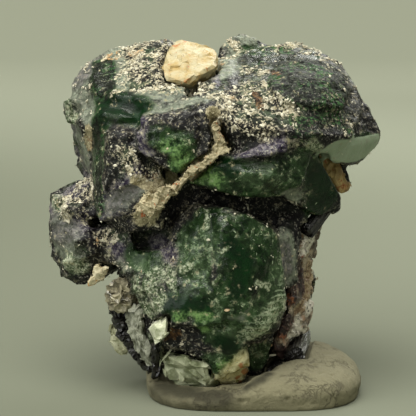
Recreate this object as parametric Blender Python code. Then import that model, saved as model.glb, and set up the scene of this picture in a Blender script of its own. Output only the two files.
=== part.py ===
"""Green and violet fluorite grown together with schorl, feldspar and mica, held upright in a lump of putty.

Metres, +Z up, seen from -Y. The origin is on the flat underside of the putty, below the middle of the specimen.
Corners are written in millimetres, as x to the right, y away from the viewer and z up.
"""

import math

import bmesh
import bpy
from mathutils import Matrix, Vector, noise

MM = 0.001
GAP = 0.3  # millimetres kept between two minerals, or between a mineral and the putty
PUTTY_LENGTH = 29.5
PUTTY_DEPTH = 26.8
PUTTY_PAD = 2.5
PUTTY_BULGE = 2.0  # how far the left end stands over the pad
PUTTY_ROLL = 2.1  # how far the thick roll at the right stands over the pad
PUTTY_HUMP = 1.4  # how far the top of that roll stands over the rest of it
PUTTY_LEFT_END = (-6.0, -8.0)  # where the bulge starts, and where it has its full height
ROLL_FRONT = (3.2, -15.0)  # the left edge of the roll runs from this place, x and y,
ROLL_BACK = (10.2, -5.5)  # to this one, and straight back from there
ROLL_SLOPE = 2.2  # how far right of that edge the roll has its full height
HUMP_PLACE = (13.8, -0.5)
HUMP_REACH = (5.5, 6.5)
PUTTY_CENTRE = (6.0, -3.5)
PUTTY_SIDES = 36
PUTTY_RINGS = 8
PUTTY_SQUARENESS = 3.0  # 2 would make its outline an ellipse, and more makes it a rounded oblong
PUTTY_STEEPNESS = 0.5  # less makes its sides steeper
PUTTY_FOOT = 0.97  # how wide its underside is, as a share of its widest place
PUTTY_DENTS = 0.3  # how deep the fingers have dented it, over blots of PUTTY_DENT_SIZE
PUTTY_DENT_SIZE = 2.4

# Colour, roughness
FINISHES = {
    "fluorite": ((0.06, 0.14, 0.09, 1.0), 0.25),
    "schorl": ((0.010, 0.010, 0.012, 1.0), 0.22),
    "feldspar_cream": ((0.80, 0.68, 0.42, 1.0), 0.60),
    "feldspar_grey": ((0.55, 0.52, 0.42, 1.0), 0.60),
    "rusty_matrix": ((0.36, 0.27, 0.20, 1.0), 0.85),
    "mica": ((0.52, 0.50, 0.38, 1.0), 0.35),
    "putty": ((0.55, 0.52, 0.43, 1.0), 0.90),
}

# The crystals of the fluorite that face the viewer, each by its corners.
FRONT_CRYSTALS = {
    "upper left block": [
        (-14, 5, 46), (-5.5, 6, 47.5), (-3, -4, 42.5), (-12.5, -6, 40.5), (-7.5, -8.5, 40), (-3, -8.5, 39.5),
        (-17, 6, 44), (-18.5, 4, 40.5), (-18.5, 0, 36.5), (-13.5, -5, 35.5), (-8, -6, 35),
        (-4, 15, 46), (-16.5, 15, 43.5), (-18.5, 13, 35.5), (-14, 10, 26.5), (-4, 10, 26.5), (-4, -5, 30),
    ],
    "pale sliver": [
        (-19.5, -1, 39.5), (-18.3, 1, 39.7), (-19, -1, 36), (-20, 4, 37), (-17, 3, 36.5), (-20, 1, 39), (-17, 3, 39),
    ],
    "violet flank": [
        (-19, 2, 36.2), (-17.5, -3, 37), (-15.5, -3.5, 36.5), (-15.5, -2.5, 29.5), (-17, 3, 29), (-18.5, 4, 31.5),
        (-19, 7, 35), (-13, 8, 36), (-13, 8, 29), (-13, -2, 33),
    ],
    "dark column": [
        (-13, -9.5, 36), (-9, -8.5, 36.5), (-8, -11.5, 25.5), (-14.5, -9.5, 24), (-15.5, -3, 36.5), (-16, -2.5, 28),
        (-14, 6, 36), (-14, 6, 26), (-5, 4, 36), (-5, 4, 25), (-5.5, -10.5, 28.5),
    ],
    "window cube": [
        (-9, -12, 38), (-8.5, -7.5, 38.6), (0, -6.5, 41), (0.5, -12.5, 39.5), (1, -13.5, 35), (0, -13.8, 33.5),
        (-3, -14, 30.5), (-6.5, -13.5, 32), (-9.5, -12.5, 34), (-8, 2, 37), (1, 2, 39), (1, 2, 31), (-7, 2, 31),
    ],
    "upper right block": [
        (1.5, 4, 43.5), (4.5, 8, 45.5), (8.5, 9, 46.5), (15, 8, 46), (18.5, 6, 44), (20.5, 2, 41), (21, -2, 38),
        (0.5, -7, 41), (1, -11.5, 39), (4, -13.5, 37), (9.5, -13.5, 36.5), (14, -13, 36), (19, -9, 35),
        (8, -5, 42.6), (15.5, -5.5, 41.8), (3.5, -12, 33), (10, -12, 33), (14, -11, 33.5), (18, -7, 33),
        (4, 16, 44), (15, 16, 44.5), (20, 14, 40), (19, 12, 33), (4, 12, 32),
    ],
    "right end": [
        (20.3, 2, 41), (21.5, 4, 39), (23.5, 0, 34), (23.5, 1, 33.2), (16.5, -9, 33.5), (16, -8, 32), (20.5, -1, 30.5),
        (18.5, 4, 29.5), (22, 10, 38), (22.5, 10, 33), (18, 10, 30), (18, 8, 40),
    ],
    "rear summit": [
        (1.5, 10, 46), (3, 10, 47.5), (4.5, 12, 48), (6.5, 12, 47.5), (8.5, 12, 46.5), (1.5, 8, 43.5),
        (1, 15, 42), (9, 16, 42), (9, 9, 42),
    ],
    "middle bulge": [
        (-3, -12, 29.5), (-1, -13, 32.5), (4, -12.5, 33.5), (10, -12.5, 33.5), (14, -10, 34), (12.5, -11, 29),
        (9.5, -11, 27.5), (6, -13, 27.5), (3.5, -13, 28), (0.5, -13, 29), (5, -14.5, 31), (8, -14.5, 30.5),
        (0, 0, 33), (12, 0, 33), (10, 0, 27), (1, 0, 27),
    ],
    "saddle between the tops": [
        (-1.5, -6, 40.8), (3.4, -6, 41.8), (-1.2, 4, 44.6), (3.4, 4, 44.8), (-0.6, -11.6, 39.6), (2.2, -11.6, 39.4),
        (-1.5, 0, 38), (3, 0, 38), (0, -11, 37), (2.4, -10.6, 37), (-1, 12, 44), (3, 12, 44),
    ],
    "lilac ledge": [
        (2.5, -14, 32.5), (6, -14, 34.5), (10, -14, 35), (10.5, -14, 33.5), (7.5, -15, 33.4),
        (3, -10, 32.5), (10, -10, 35), (10, -10, 33), (5, -10, 34.5),
    ],
    "right shoulder": [
        (14, -8, 33.5), (11.5, -10, 32.5), (9.5, -10.5, 27.5), (13.5, -7, 25), (15.5, -4, 23.5), (18, -3, 24.5),
        (18, -4, 26.5), (13, 4, 33), (17, 5, 27), (16, 4, 24), (9, 2, 27),
    ],
    "edge behind the slab": [
        (18, 2.5, 32), (20.2, 3.2, 27.8), (19.8, 4, 26.8), (17, 8, 25), (15, 8, 32), (15, 2.5, 29), (16, 3, 25.5),
    ],
    "green disc": [
        (0, -13, 26), (2.5, -13, 26.5), (5, -13, 25.5), (7.5, -13, 23.5), (9, -12, 23), (9.5, -12, 21),
        (9.8, -12, 16.5), (10.5, -12, 13.5), (9.5, -12, 10), (7, -12, 8), (5, -13, 8.5),
        (3, -16, 20), (5, -16.3, 15), (6, -15.5, 11), (2, -15.5, 24), (0, -15.5, 14), (7.5, -14.8, 19),
        (0, -6, 26), (9, -6, 23), (9.5, -6, 10), (1, -6, 8),
    ],
    "grey green flank": [
        (-5, -10, 23), (-3.5, -10, 25), (-2, -10, 26.5), (0.5, -13, 26), (-5.5, -13, 16), (0, -14.5, 16),
        (0, -14.5, 22), (-5, -4, 24), (0, -4, 26), (-5, -4, 15),
    ],
    "lower left crystal": [
        (-11, -8, 19.5), (-5.5, -10.5, 20.5), (-4.5, -12, 17), (-8, -12, 15), (-10.5, -9.5, 14), (-12.5, -6, 16),
        (-11, 0, 19), (-5, 0, 20), (-11, 0, 14), (-6, 0, 13),
    ],
    "shelf above the step": [
        (-8.5, -12, 16), (-5, -13.5, 17), (-0.5, -15.5, 16.5), (2, -15.8, 11.5), (-1, -15.5, 11), (-5.5, -14.5, 11.2),
        (-7, -13, 12), (-7, -5, 15), (1, -5, 15), (1, -5, 10), (-6, -5, 10),
    ],
    "block below the step": [
        (-6, -12.5, 10.5), (2, -14.5, 10.5), (5, -13, 9), (5.5, -12, 5), (1, -12.5, 3), (-5, -11.5, 6),
        (-5, -3, 10), (5, -3, 10), (4, -3, 4), (-4, -3, 5),
    ],
    "honey foot": [
        (1, -12, 3.5), (5, -11.5, 6.5), (5.5, -10, 4), (5, -9, 2), (2.5, -8, 0.6), (1, -4, 3), (5, -4, 5), (1, -5, 7),
    ],
    "olive foot": [
        (5.2, -8.5, 6.5), (8.3, -6.5, 6.5), (8.3, -6, 4), (6, -7, 2.5), (5, -1, 6.5), (8, -1, 5), (5.5, -2, 3),
    ],
    "cluster top": [
        (-22, 0, 25), (-21.5, 0, 26.5), (-20.5, 0, 27.5), (-18, 0, 28.5), (-16.5, -1, 29), (-15, -4, 28),
        (-15, -5, 24), (-20, -4, 24), (-21.5, -2, 23), (-20, 6, 26), (-13, 6, 28), (-13, 6, 22), (-21, 5, 22),
    ],
    "cluster middle": [
        (-22, 0, 23.5), (-22, 0, 20), (-21, -1, 17.5), (-19, -5, 22), (-16, -7, 22), (-15, -7, 19), (-18, -6, 18),
        (-20, 6, 22), (-20, 6, 18), (-12, 6, 22), (-12, 6, 18), (-13, -5, 20),
    ],
    "cluster foot": [
        (-21, 0, 18), (-20.3, -2, 15.3), (-18, -3, 14), (-15.5, -4, 14.5), (-13.5, -5, 16), (-13.2, -6, 18.5),
        (-15, -6.5, 19.5), (-19, -5, 19), (-19, 4, 18), (-17, 4, 14.5), (-12, 4, 18), (-12, 4, 15.5),
    ],
    "left foot flank": [
        (-9.4, -9.6, 14.8), (-6, -12.2, 14), (-5.4, -12.6, 8.6), (-6.2, -11, 6.2), (-8.2, -8.4, 6.6),
        (-10.6, -5.4, 12.6), (-10.4, -5.2, 8.4), (-8.6, -5, 4.8),
        (-9, -2, 14), (-4, -2, 13), (-4, -2, 5), (-7.4, -3, 6),
    ],
    "foot of the dark column": [
        (-15, -6.6, 26.6), (-14.4, -7.6, 23.6), (-10, -10.2, 22.4), (-6, -9.6, 22.8), (-5.2, -10, 25.6),
        (-9.6, -11, 26.6), (-14, 2, 24), (-6, 2, 24), (-6, 2, 27), (-14, 2, 27),
    ],
    "dark bit by the cluster": [
        (-15.4, -4, 22.6), (-10.6, -8.4, 23.4), (-9.6, -9.2, 20.6), (-10.6, -8.4, 18.2), (-13.2, -6.8, 17.8),
        (-15, -5, 19.5), (-14.5, 3, 22), (-10, 3, 23), (-10, 3, 18), (-14, 3, 19),
    ],
    "grey piece by the column": [
        (9.6, -9.6, 21.2), (12, -7.4, 21), (12.1, -7, 15.2), (9.8, -9.6, 14.6), (9.6, -7, 24.4), (12.4, -5.6, 24.2),
        (9.4, -2, 24.4), (12.6, -2, 24.2), (12.2, -2, 14.6), (9.4, -2, 14),
    ],
    "heart of the cluster": [
        (-13, -4, 38), (17, -4, 36), (17, 9, 38), (-13, 10, 40), (-8, -8, 9), (8.5, -8, 7), (8.5, 5, 6), (-7, 5, 7),
        (-13, -4, 24), (-13, 5, 24), (-5.8, -7, 4), (7.2, -6.4, 2.2), (7, 3.6, 1.6), (-4.6, 3.6, 1.8),
    ],
}

FEET_IN_PUTTY = ("honey foot", "olive foot", "block below the step", "heart of the cluster")

# The crystals of the far side: centre, edge, and turns about Z then X, in degrees.
REAR_CRYSTALS = [
    ((-9.5, 11, 36.5), 12.5, 24, 12),
    ((7.5, 11, 36), 12.5, -18, 16),
    ((-1.0, 12.5, 29), 9.5, 38, -14),
    ((13.5, 8.5, 28.5), 8.0, 12, 22),
    ((-11.0, 7.5, 25), 8.5, -30, 18),
    ((5.0, 9.0, 21), 8.0, 20, -20),
    ((-4.5, 6.5, 17), 8.0, 48, 10),
    ((-15.6, 8.0, 30), 4.6, 30, 30),
    ((9.2, 6.6, 14.0), 6.5, 15, 20),
    ((-7.0, 5.0, 12.6), 6.0, 35, -15),
    ((12.4, 3.6, 13.6), 4.2, 25, 30),
]

# Small cubes that stand out of the left cluster and the tops: centre, edge, turns about Z then X.
SMALL_CUBES = [
    ((-20.0, -0.8, 25.2), 3.0, 20, 15),
    ((-17.6, -3.2, 24.6), 3.2, -25, 30),
    ((-19.5, -2.0, 21.6), 3.2, 35, 10),
    ((-17.0, -5.2, 20.8), 3.0, 15, 40),
    ((-20.0, -0.4, 18.4), 2.6, 50, 20),
    ((-18.0, -3.4, 17.2), 3.0, -15, 25),
    ((12.0, 8.6, 44.6), 3.4, 25, 20),
    ((16.6, 4.6, 42.6), 3.2, -30, 30),
]

# Raised growth plates on the larger crystals: whose, the way the face looks, how wide, how proud, slid by x, y, z.
GROWTH_PLATES = [
    ("upper left block", (0, -0.45, 0.89), 0.62, 0.35, (2.0, 1.5, 0.8)),
    ("upper left block", (-0.95, -0.15, 0.2), 0.60, 0.35, (0, 0, 1.0)),
    ("upper left block", (0, -0.95, -0.3), 0.55, 0.30, (-2.4, 0, 0)),
    ("upper right block", (0.25, -0.5, 0.83), 0.55, 0.25, (2.0, 0.5, 0)),
    ("upper right block", (0.55, -0.7, 0.45), 0.52, 0.40, (0, 0, 0)),
    ("upper right block", (0, 0.97, 0.2), 0.6, 0.5, (-1, 0, 1)),
    ("window cube", (-0.1, -1, 0), 0.70, 0.30, (-0.5, 0, 0.6)),
    ("dark column", (-0.2, -1, 0), 0.62, 0.35, (0, 0, 1.5)),
    ("right end", (0.8, -0.5, 0.3), 0.60, 0.30, (0, 0, 0)),
]

FELDSPAR_TOP = [
    (-5.2, 3, 47.2), (-3.8, 3, 47.8), (1.2, 3, 46.5), (1.7, 0, 45.4), (1.0, -3, 44.1), (-1, -4.6, 43), (-3, -5.6, 42.3),
    (-5.8, -4.8, 42.2), (-6.2, -2, 43.6), (-6.2, 0, 45.6), (-4, 4, 42), (1, 3, 41), (-2, -2, 40.5),
]
FELDSPAR_SLAB = [
    (14.2, -3.8, 33), (15, -1, 33.5), (18, 0, 31.4), (20, 1, 27.5), (19.5, 1.6, 26.5), (18.5, -0.6, 26),
    (14.6, -4.4, 32), (17, 2.2, 26.6), (14.5, 2, 32.6),
]
FELDSPAR_FOOT = [
    (-6.6, -11.2, 7), (-4, -13, 7.3), (-0.5, -14, 6), (0.5, -13, 3.6), (1.5, -9.5, 0.6), (-3.5, -9.5, 1.4),
    (-6.6, -9, 3.6), (-4, -5, 4), (0, -5, 3),
]
# The pale seam that runs down between the window cube and the bulge.
SEAM_PIECES = [
    [(0.2, -13, 38.4), (1.2, -13.6, 38), (1.6, -14.3, 35.6), (0.9, -14.3, 35.2), (0.5, -10, 37), (1.6, -10, 36)],
    [(0.9, -14.4, 35.8), (2.0, -14.2, 36), (3.2, -14.4, 34.3), (2.4, -14.8, 33.4), (0.2, -14.8, 33.2), (1, -11, 35),
     (2.4, -11, 33.6), (0.4, -11, 33)],
    [(0.6, -14.8, 33.6), (1.6, -14.6, 33.2), (-2.2, -14.8, 30), (-3.4, -15, 29.2), (-3.6, -14.6, 31), (0, -11, 33),
     (-3, -11, 29.6)],
    [(-3, -14.8, 30.6), (-3.2, -15, 29), (-6.2, -14, 25.8), (-8.4, -13, 24.2), (-9.4, -12.6, 25.6), (-8.8, -13.4, 28),
     (-6, -14, 29.6), (-5, -9.5, 28), (-8, -9.5, 26)],
]
MATRIX_LUMPS = [
    [(11, -6.4, 21), (13, -4.6, 23.4), (15.8, -2, 23.4), (15.5, -1, 20.5), (14.3, 0, 18), (11, -6.6, 16.5),
     (10.2, -5, 15), (13, 6, 22.6), (14, 5, 17), (11, 4, 15)],
    [(10.2, -6.4, 17.6), (13, -3, 17.8), (14.4, 0, 17.7), (14.2, 0, 13), (14.5, 0, 10), (10.8, -6.8, 10.3),
     (11, -6.4, 13.5), (12, 6, 16), (13, 6, 10), (10, 4, 12)],
    [(10.6, -7, 11), (14.6, -1, 11), (14.0, 0, 6.2), (9.6, -7, 7.2), (9.4, -6.6, 9.4), (12, 7, 10), (11, 7, 4.5),
     (8.4, 4, 5.6), (8.9, -6.6, 5.2), (10, -5, 4)],
    [(11.5, 2, 12), (4.5, 9.5, 12.5), (3, 8.5, 4), (9, 7.5, 2.4), (12.8, 2, 4.4), (8, 1, 3.4), (9, 3, 13)],
    [(12, -3.6, 20.6), (15.2, -1, 20), (15.2, 2.6, 17.6), (12.6, 4.6, 21.4), (12.4, -3, 15.4), (11, 0, 13)],
    [(12, -2.6, 10.4), (14.9, 0, 9.6), (14.4, 3.8, 8.6), (11, 5.6, 10), (11, -3, 6.6), (12.6, 1.6, 6.2)],
    [(5, 9, 11), (-3, 9, 12.4), (-8, 4, 11), (-7, 4, 4.6), (-2, 7, 2.8), (5, 7.5, 3.6), (4, 2, 4), (-4, 2, 5),
     (-4, 3, 13)],
    [(-5, 5, 12), (-9.6, 2, 13.4), (-11.6, -2.4, 12.6), (-9.2, -6.8, 13.4), (-7.2, -7.2, 5.4), (-8.6, -3.6, 3),
     (-7.8, 2, 2.2), (-4, 4, 2.2), (-5, -4, 10), (-12.6, 0.6, 10), (-12.6, 2.4, 5), (-9.6, 4.6, 3.4),
     (-10.8, -0.4, 3.6)],
]
MATRIX_SEED = 7
ALBITE_BLADES = [
    [(-11, -6.6, 12.8), (-9.9, -8, 13.2), (-9, -9.8, 11.4), (-9, -9.6, 8), (-10.4, -7.2, 7.6), (-10.9, -6.4, 10.4),
     (-9, -5.8, 12), (-8.4, -7, 8)],
    [(-10.4, -7.4, 8.8), (-9, -9.6, 9), (-8, -9.8, 6.6), (-7.2, -8.8, 4.4), (-8.2, -6.4, 4.2), (-9.9, -6.2, 6.8),
     (-7.6, -6.4, 7.4)],
]
ALBITE_FIN = [
    [(-7.6, -12.8, 10.6), (-5.0, -14.8, 12.4), (-5.4, -14.8, 9.8), (-7.2, -12.8, 8), (-6.4, -10, 8.6), (-5.8, -10, 11.4),
     (-7.8, -11, 9.6)],
]
CLUSTER_FELDSPAR = [
    [(-16.4, -7, 14.8), (-15.8, -7.6, 16), (-13.6, -7, 17.8), (-13.2, -6.6, 17.2), (-14.8, -6.6, 15), (-15, -3.5, 16.4),
     (-14, -4, 17)],
    [(-15.4, -7.2, 16), (-15.2, -7.6, 18.2), (-14.4, -7, 18), (-14.2, -6.8, 16.4), (-15, -4, 17)],
]
LOW_FELDSPAR = [
    (-13.6, -1.4, 8.8), (-12.4, -2, 8.8), (-10.4, -1.6, 4.4), (-12.8, -1.6, 4), (-13.8, -0.4, 6), (-12, 3.4, 8.6),
    (-9.6, 3.4, 5), (-12.6, 2.6, 4.8),
]

# Black prisms: name, one end, the other end, radius at the middle. Two of the same name have grown together.
SCHORL_PRISMS = [
    ("schorl_lower_left", (-12.5, -3.9, 12.0), (-11.0, -3.9, 7.0), 1.05),
    ("schorl_lower_left", (-11.6, -4.1, 8.6), (-7.4, -4.3, 3.0), 1.15),
    ("schorl_splinter", (-7.0, -10.2, 8.0), (-7.1, -8.2, 2.6), 0.7),
    ("schorl_right_foot", (11.7, -6.4, 5.0), (13.3, 3.4, 6.0), 1.30),
    ("schorl_front_foot", (8.9, -7.8, 2.9), (10.0, -1.0, 2.5), 1.15),
    ("schorl_right_neck", (13.2, -5.2, 21.8), (16.4, -1.8, 25.4), 0.85),
]
SCHORL_SIDES = 9
SCHORL_RIBS = 0.10  # depth of the lengthwise grooves, as a share of the radius

MICA_CENTRE = (-11.9, -7.4, 14.2)
MICA_RADIUS = 2.7
MICA_PLATES = 7
MICA_PLATE_THICKNESS = 0.45
MICA_SIDES = 7


def clear_scene():
    for obj in list(bpy.data.objects):
        bpy.data.objects.remove(obj, do_unlink=True)


def finish_named(name):
    """A Principled material in one of the colours above, made once."""
    found = bpy.data.materials.get(name)
    if found:
        return found
    colour, roughness = FINISHES[name]
    made = bpy.data.materials.new(name)
    made.use_nodes = True
    shader = made.node_tree.nodes["Principled BSDF"]
    shader.inputs["Base Color"].default_value = colour
    shader.inputs["Roughness"].default_value = roughness
    shader.inputs["Metallic"].default_value = 0.0
    made.diffuse_color = colour
    return made


def object_from(bm, name, finish):
    """Writes a bmesh that is in millimetres to a new object in metres."""
    bmesh.ops.recalc_face_normals(bm, faces=bm.faces)
    bmesh.ops.scale(bm, vec=Vector((MM, MM, MM)), verts=bm.verts)
    mesh = bpy.data.meshes.new(name)
    bm.to_mesh(mesh)
    bm.free()
    mesh.materials.append(finish_named(finish))
    obj = bpy.data.objects.new(name, mesh)
    bpy.context.scene.collection.objects.link(obj)
    return obj


def hull_mesh(corners):
    """A bmesh with flat faces wrapped round the corners."""
    bm = bmesh.new()
    for corner in corners:
        bm.verts.new(corner)
    wrapped = bmesh.ops.convex_hull(bm, input=bm.verts)
    left_over = {v for v in wrapped["geom_interior"] + wrapped["geom_unused"] if isinstance(v, bmesh.types.BMVert)}
    bmesh.ops.delete(bm, geom=list(left_over), context="VERTS")
    return bm


def hull(corners, name="hull", finish="fluorite"):
    return object_from(hull_mesh(corners), name, finish)


def grown(corners, by=GAP):
    """The corners of a solid that clears the given one by a gap on every side."""
    shifts = [Vector((x, y, z)) * by for x in (-1, 1) for y in (-1, 1) for z in (-1, 1)]
    return [tuple(Vector(corner) + shift) for corner in corners for shift in shifts]


def cube_corners(centre, edge, turn_z, turn_x):
    """The eight corners of a cube, turned about X and then about Z."""
    turn = Matrix.Rotation(math.radians(turn_z), 3, "Z") @ Matrix.Rotation(math.radians(turn_x), 3, "X")
    half = edge / 2
    signs = (-half, half)
    return [tuple(Vector(centre) + turn @ Vector((x, y, z))) for x in signs for y in signs for z in signs]


def applied(obj):
    """Replaces an object's mesh by what its modifiers make of it."""
    bpy.context.view_layer.update()
    evaluated = obj.evaluated_get(bpy.context.evaluated_depsgraph_get())
    mesh = bpy.data.meshes.new_from_object(evaluated)
    obj.modifiers.clear()
    obj.data = mesh
    return obj


def without_scraps(obj):
    """Drops every loose crumb that a cut has left, and keeps the largest body."""
    bm = bmesh.new()
    bm.from_mesh(obj.data)
    bodies = []
    unseen = set(bm.verts)
    while unseen:
        body = {unseen.pop()}
        edge_of_body = list(body)
        while edge_of_body:
            vert = edge_of_body.pop()
            for edge in vert.link_edges:
                other = edge.other_vert(vert)
                if other in unseen:
                    unseen.remove(other)
                    body.add(other)
                    edge_of_body.append(other)
        bodies.append(body)
    bodies.sort(key=len, reverse=True)
    crumbs = [vert for body in bodies[1:] for vert in body]
    bmesh.ops.delete(bm, geom=crumbs, context="VERTS")
    bm.to_mesh(obj.data)
    bm.free()


def combine(name, solids, operation="UNION"):
    """Joins solids to the first one, or cuts them from it, all in one step, and keeps one plain mesh."""
    base, others = solids[0], solids[1:]
    if not others:
        return base
    operands = bpy.data.collections.new("operands")
    for other in others:
        operands.objects.link(other)
    step = base.modifiers.new("combine", "BOOLEAN")
    step.operation = operation
    step.solver = "EXACT"
    step.operand_type = "COLLECTION"
    step.collection = operands
    applied(base)
    base.name = name
    base.data.name = name
    for other in others:
        bpy.data.objects.remove(other, do_unlink=True)
    bpy.data.collections.remove(operands)
    without_scraps(base)
    return base


def cut(obj, cutters):
    """Cuts each convex cutter, given by its corners and grown by the gap, from a solid."""
    combine(obj.name, [obj] + [hull(grown(corners), "cutter") for corners in cutters], "DIFFERENCE")


def on_grid(obj, voxel):
    """Draws a solid again on an even grid of this many millimetres."""
    grid = obj.modifiers.new("grid", "REMESH")
    grid.mode = "VOXEL"
    grid.voxel_size = voxel * MM
    applied(obj)


def weathered(name, corner_sets, finish, seed, cutters=(), bite=0.3, grain=2.2, voxel=0.42, triangles=400):
    """One lump of broken mineral: hulls joined and cut, drawn on a fine grid, then eaten inwards by noise.

    The grid is drawn once more after that, because noise can push one thin wall through another.
    """
    obj = combine(name, [hull(corners, name, finish) for corners in corner_sets])
    if cutters:
        cut(obj, cutters)
    on_grid(obj, voxel)
    offset = Vector((seed * 3.1, seed * 1.7, seed * 0.9))
    moves = []
    for vert in obj.data.vertices:
        place = vert.co / MM
        depth = 0.7 + 0.5 * noise.noise(place / grain + offset) + 0.3 * noise.noise(place / (0.4 * grain) - offset)
        moves.append((place - vert.normal * bite * max(0.15, depth)) * MM)
    for vert, place in zip(obj.data.vertices, moves):
        vert.co = place
    on_grid(obj, voxel)
    thin = obj.modifiers.new("thin", "DECIMATE")
    thin.ratio = min(1.0, triangles / (2 * len(obj.data.polygons)))
    applied(obj)
    without_scraps(obj)
    obj.data.materials.clear()
    obj.data.materials.append(finish_named(finish))
    return obj


def prism_corners(start, end, radius):
    """The corners of a prism whose rounded triangular section is that of schorl, ribbed along its length."""
    start, end = Vector(start), Vector(end)
    axis = (end - start).normalized()
    side = axis.cross(Vector((0, 1, 0))).normalized()
    other = axis.cross(side)
    corners = []
    for index in range(SCHORL_SIDES):
        angle = 2 * math.pi * index / SCHORL_SIDES
        reach = radius * (1 + 0.12 * math.cos(3 * angle))
        spoke = (side * math.cos(angle) + other * math.sin(angle)) * reach
        corners += [start + spoke, end + spoke]
    return corners


def make_schorl(name, start, end, radius):
    """A black prism with lengthwise ribs, set inside its own ribless corners, and a bevelled end."""
    start, end = Vector(start), Vector(end)
    axis = (end - start).normalized()
    side = axis.cross(Vector((0, 1, 0))).normalized()
    other = axis.cross(side)
    bm = bmesh.new()
    rings = []
    for share, taper in ((0.0, 0.72), (0.06, 1.0), (0.94, 1.0), (1.0, 0.72)):
        ring = []
        for index in range(2 * SCHORL_SIDES):
            angle = math.pi * index / SCHORL_SIDES
            flat = math.cos(math.pi / SCHORL_SIDES) if index % 2 else 1.0
            rib = 1.0 - SCHORL_RIBS * (index % 2)
            reach = radius * (1 + 0.12 * math.cos(3 * angle)) * flat * rib * taper
            spoke = (side * math.cos(angle) + other * math.sin(angle)) * reach
            ring.append(bm.verts.new(start.lerp(end, share) + spoke))
        rings.append(ring)
    for lower, upper in zip(rings, rings[1:]):
        for index in range(len(lower)):
            after = (index + 1) % len(lower)
            bm.faces.new((lower[index], lower[after], upper[after], upper[index]))
    bm.faces.new(rings[0])
    bm.faces.new(rings[-1])
    return object_from(bm, name, "schorl")


def mica_plate_corners():
    """The corners of each six-sided plate of the book, every one turned and slid a little on the last."""
    stack = Vector((-0.45, -0.80, 0.35)).normalized()
    side = stack.cross(Vector((0, 0, 1))).normalized()
    other = stack.cross(side)
    plates = []
    for index in range(MICA_PLATES):
        along = (index - (MICA_PLATES - 1) / 2) * MICA_PLATE_THICKNESS
        reach = MICA_RADIUS * (1.0 - 0.10 * index)
        slide = side * 0.12 * math.sin(2.1 * index) + other * 0.10 * math.cos(1.7 * index)
        corners = []
        for step in range(MICA_SIDES):
            angle = 2 * math.pi * step / MICA_SIDES + 0.16 * index
            spoke = (side * math.cos(angle) + other * math.sin(angle)) * reach
            for face in (-0.52, 0.52):
                corners.append(
                    Vector(MICA_CENTRE) + slide + spoke + stack * (along + face * MICA_PLATE_THICKNESS)
                )
        plates.append(corners)
    return plates


def plate_corners(corners, facing, share, proud, slide=(0, 0, 0)):
    """The corners of a thin step on one face of a crystal: the crystal shrunk, then pushed out through that face."""
    facing = Vector(facing).normalized()
    centre = sum((Vector(corner) for corner in corners), Vector()) / len(corners)
    reach = max((Vector(corner) - centre).dot(facing) for corner in corners)
    push = facing * ((1 - share) * reach + proud) + Vector(slide)
    return [centre + (Vector(corner) - centre) * share + push for corner in corners]


def rear_plates():
    """Steps on the faces of the rear cubes that look away from the cluster."""
    plates = []
    for index, (centre, edge, turn_z, turn_x) in enumerate(REAR_CRYSTALS):
        corners = cube_corners(centre, edge, turn_z, turn_x)
        turn = Matrix.Rotation(math.radians(turn_z), 3, "Z") @ Matrix.Rotation(math.radians(turn_x), 3, "X")
        for facing, share in ((Vector((0, 1, 0)), 0.72), (Vector((1 if index % 2 else -1, 0, 0)), 0.60)):
            slide = turn @ Vector((0, 0, edge * (0.08 if index % 3 else -0.08)))
            plates.append(plate_corners(corners, turn @ facing, share, 0.04 * edge, slide))
    return plates


def make_fluorite():
    corner_sets = list(FRONT_CRYSTALS.values())
    corner_sets += [cube_corners(*crystal) for crystal in REAR_CRYSTALS + SMALL_CUBES]
    corner_sets += [
        plate_corners(FRONT_CRYSTALS[name], facing, share, proud, slide)
        for name, facing, share, proud, slide in GROWTH_PLATES
    ]
    corner_sets += rear_plates()
    heart = FRONT_CRYSTALS["heart of the cluster"]
    corner_sets.remove(heart)
    return combine("fluorite", [hull(corners, "crystal") for corners in [heart] + corner_sets])


def make_mica():
    return combine("mica_book", [hull(corners, "plate", "mica") for corners in mica_plate_corners()])


def rise(value, low, high):
    """0 up to low, 1 from high on, and a smooth slope between them."""
    share = min(1.0, max(0.0, (value - low) / (high - low)))
    return share * share * (3 - 2 * share)


def putty_height(x, y):
    """How high the putty stands over a point: a low pad, a bulging left end, and a thick roll at the right."""
    (front_x, front_y), (back_x, back_y) = ROLL_FRONT, ROLL_BACK
    edge = min(back_x, front_x + (y - front_y) * (back_x - front_x) / (back_y - front_y))
    bulge = PUTTY_BULGE * rise(x, *PUTTY_LEFT_END)
    roll = PUTTY_ROLL * rise(x - edge, 0, ROLL_SLOPE)
    hump = PUTTY_HUMP * math.exp(
        -((x - HUMP_PLACE[0]) / HUMP_REACH[0]) ** 2 - ((y - HUMP_PLACE[1]) / HUMP_REACH[1]) ** 2
    )
    return PUTTY_PAD + bulge + roll + hump


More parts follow.
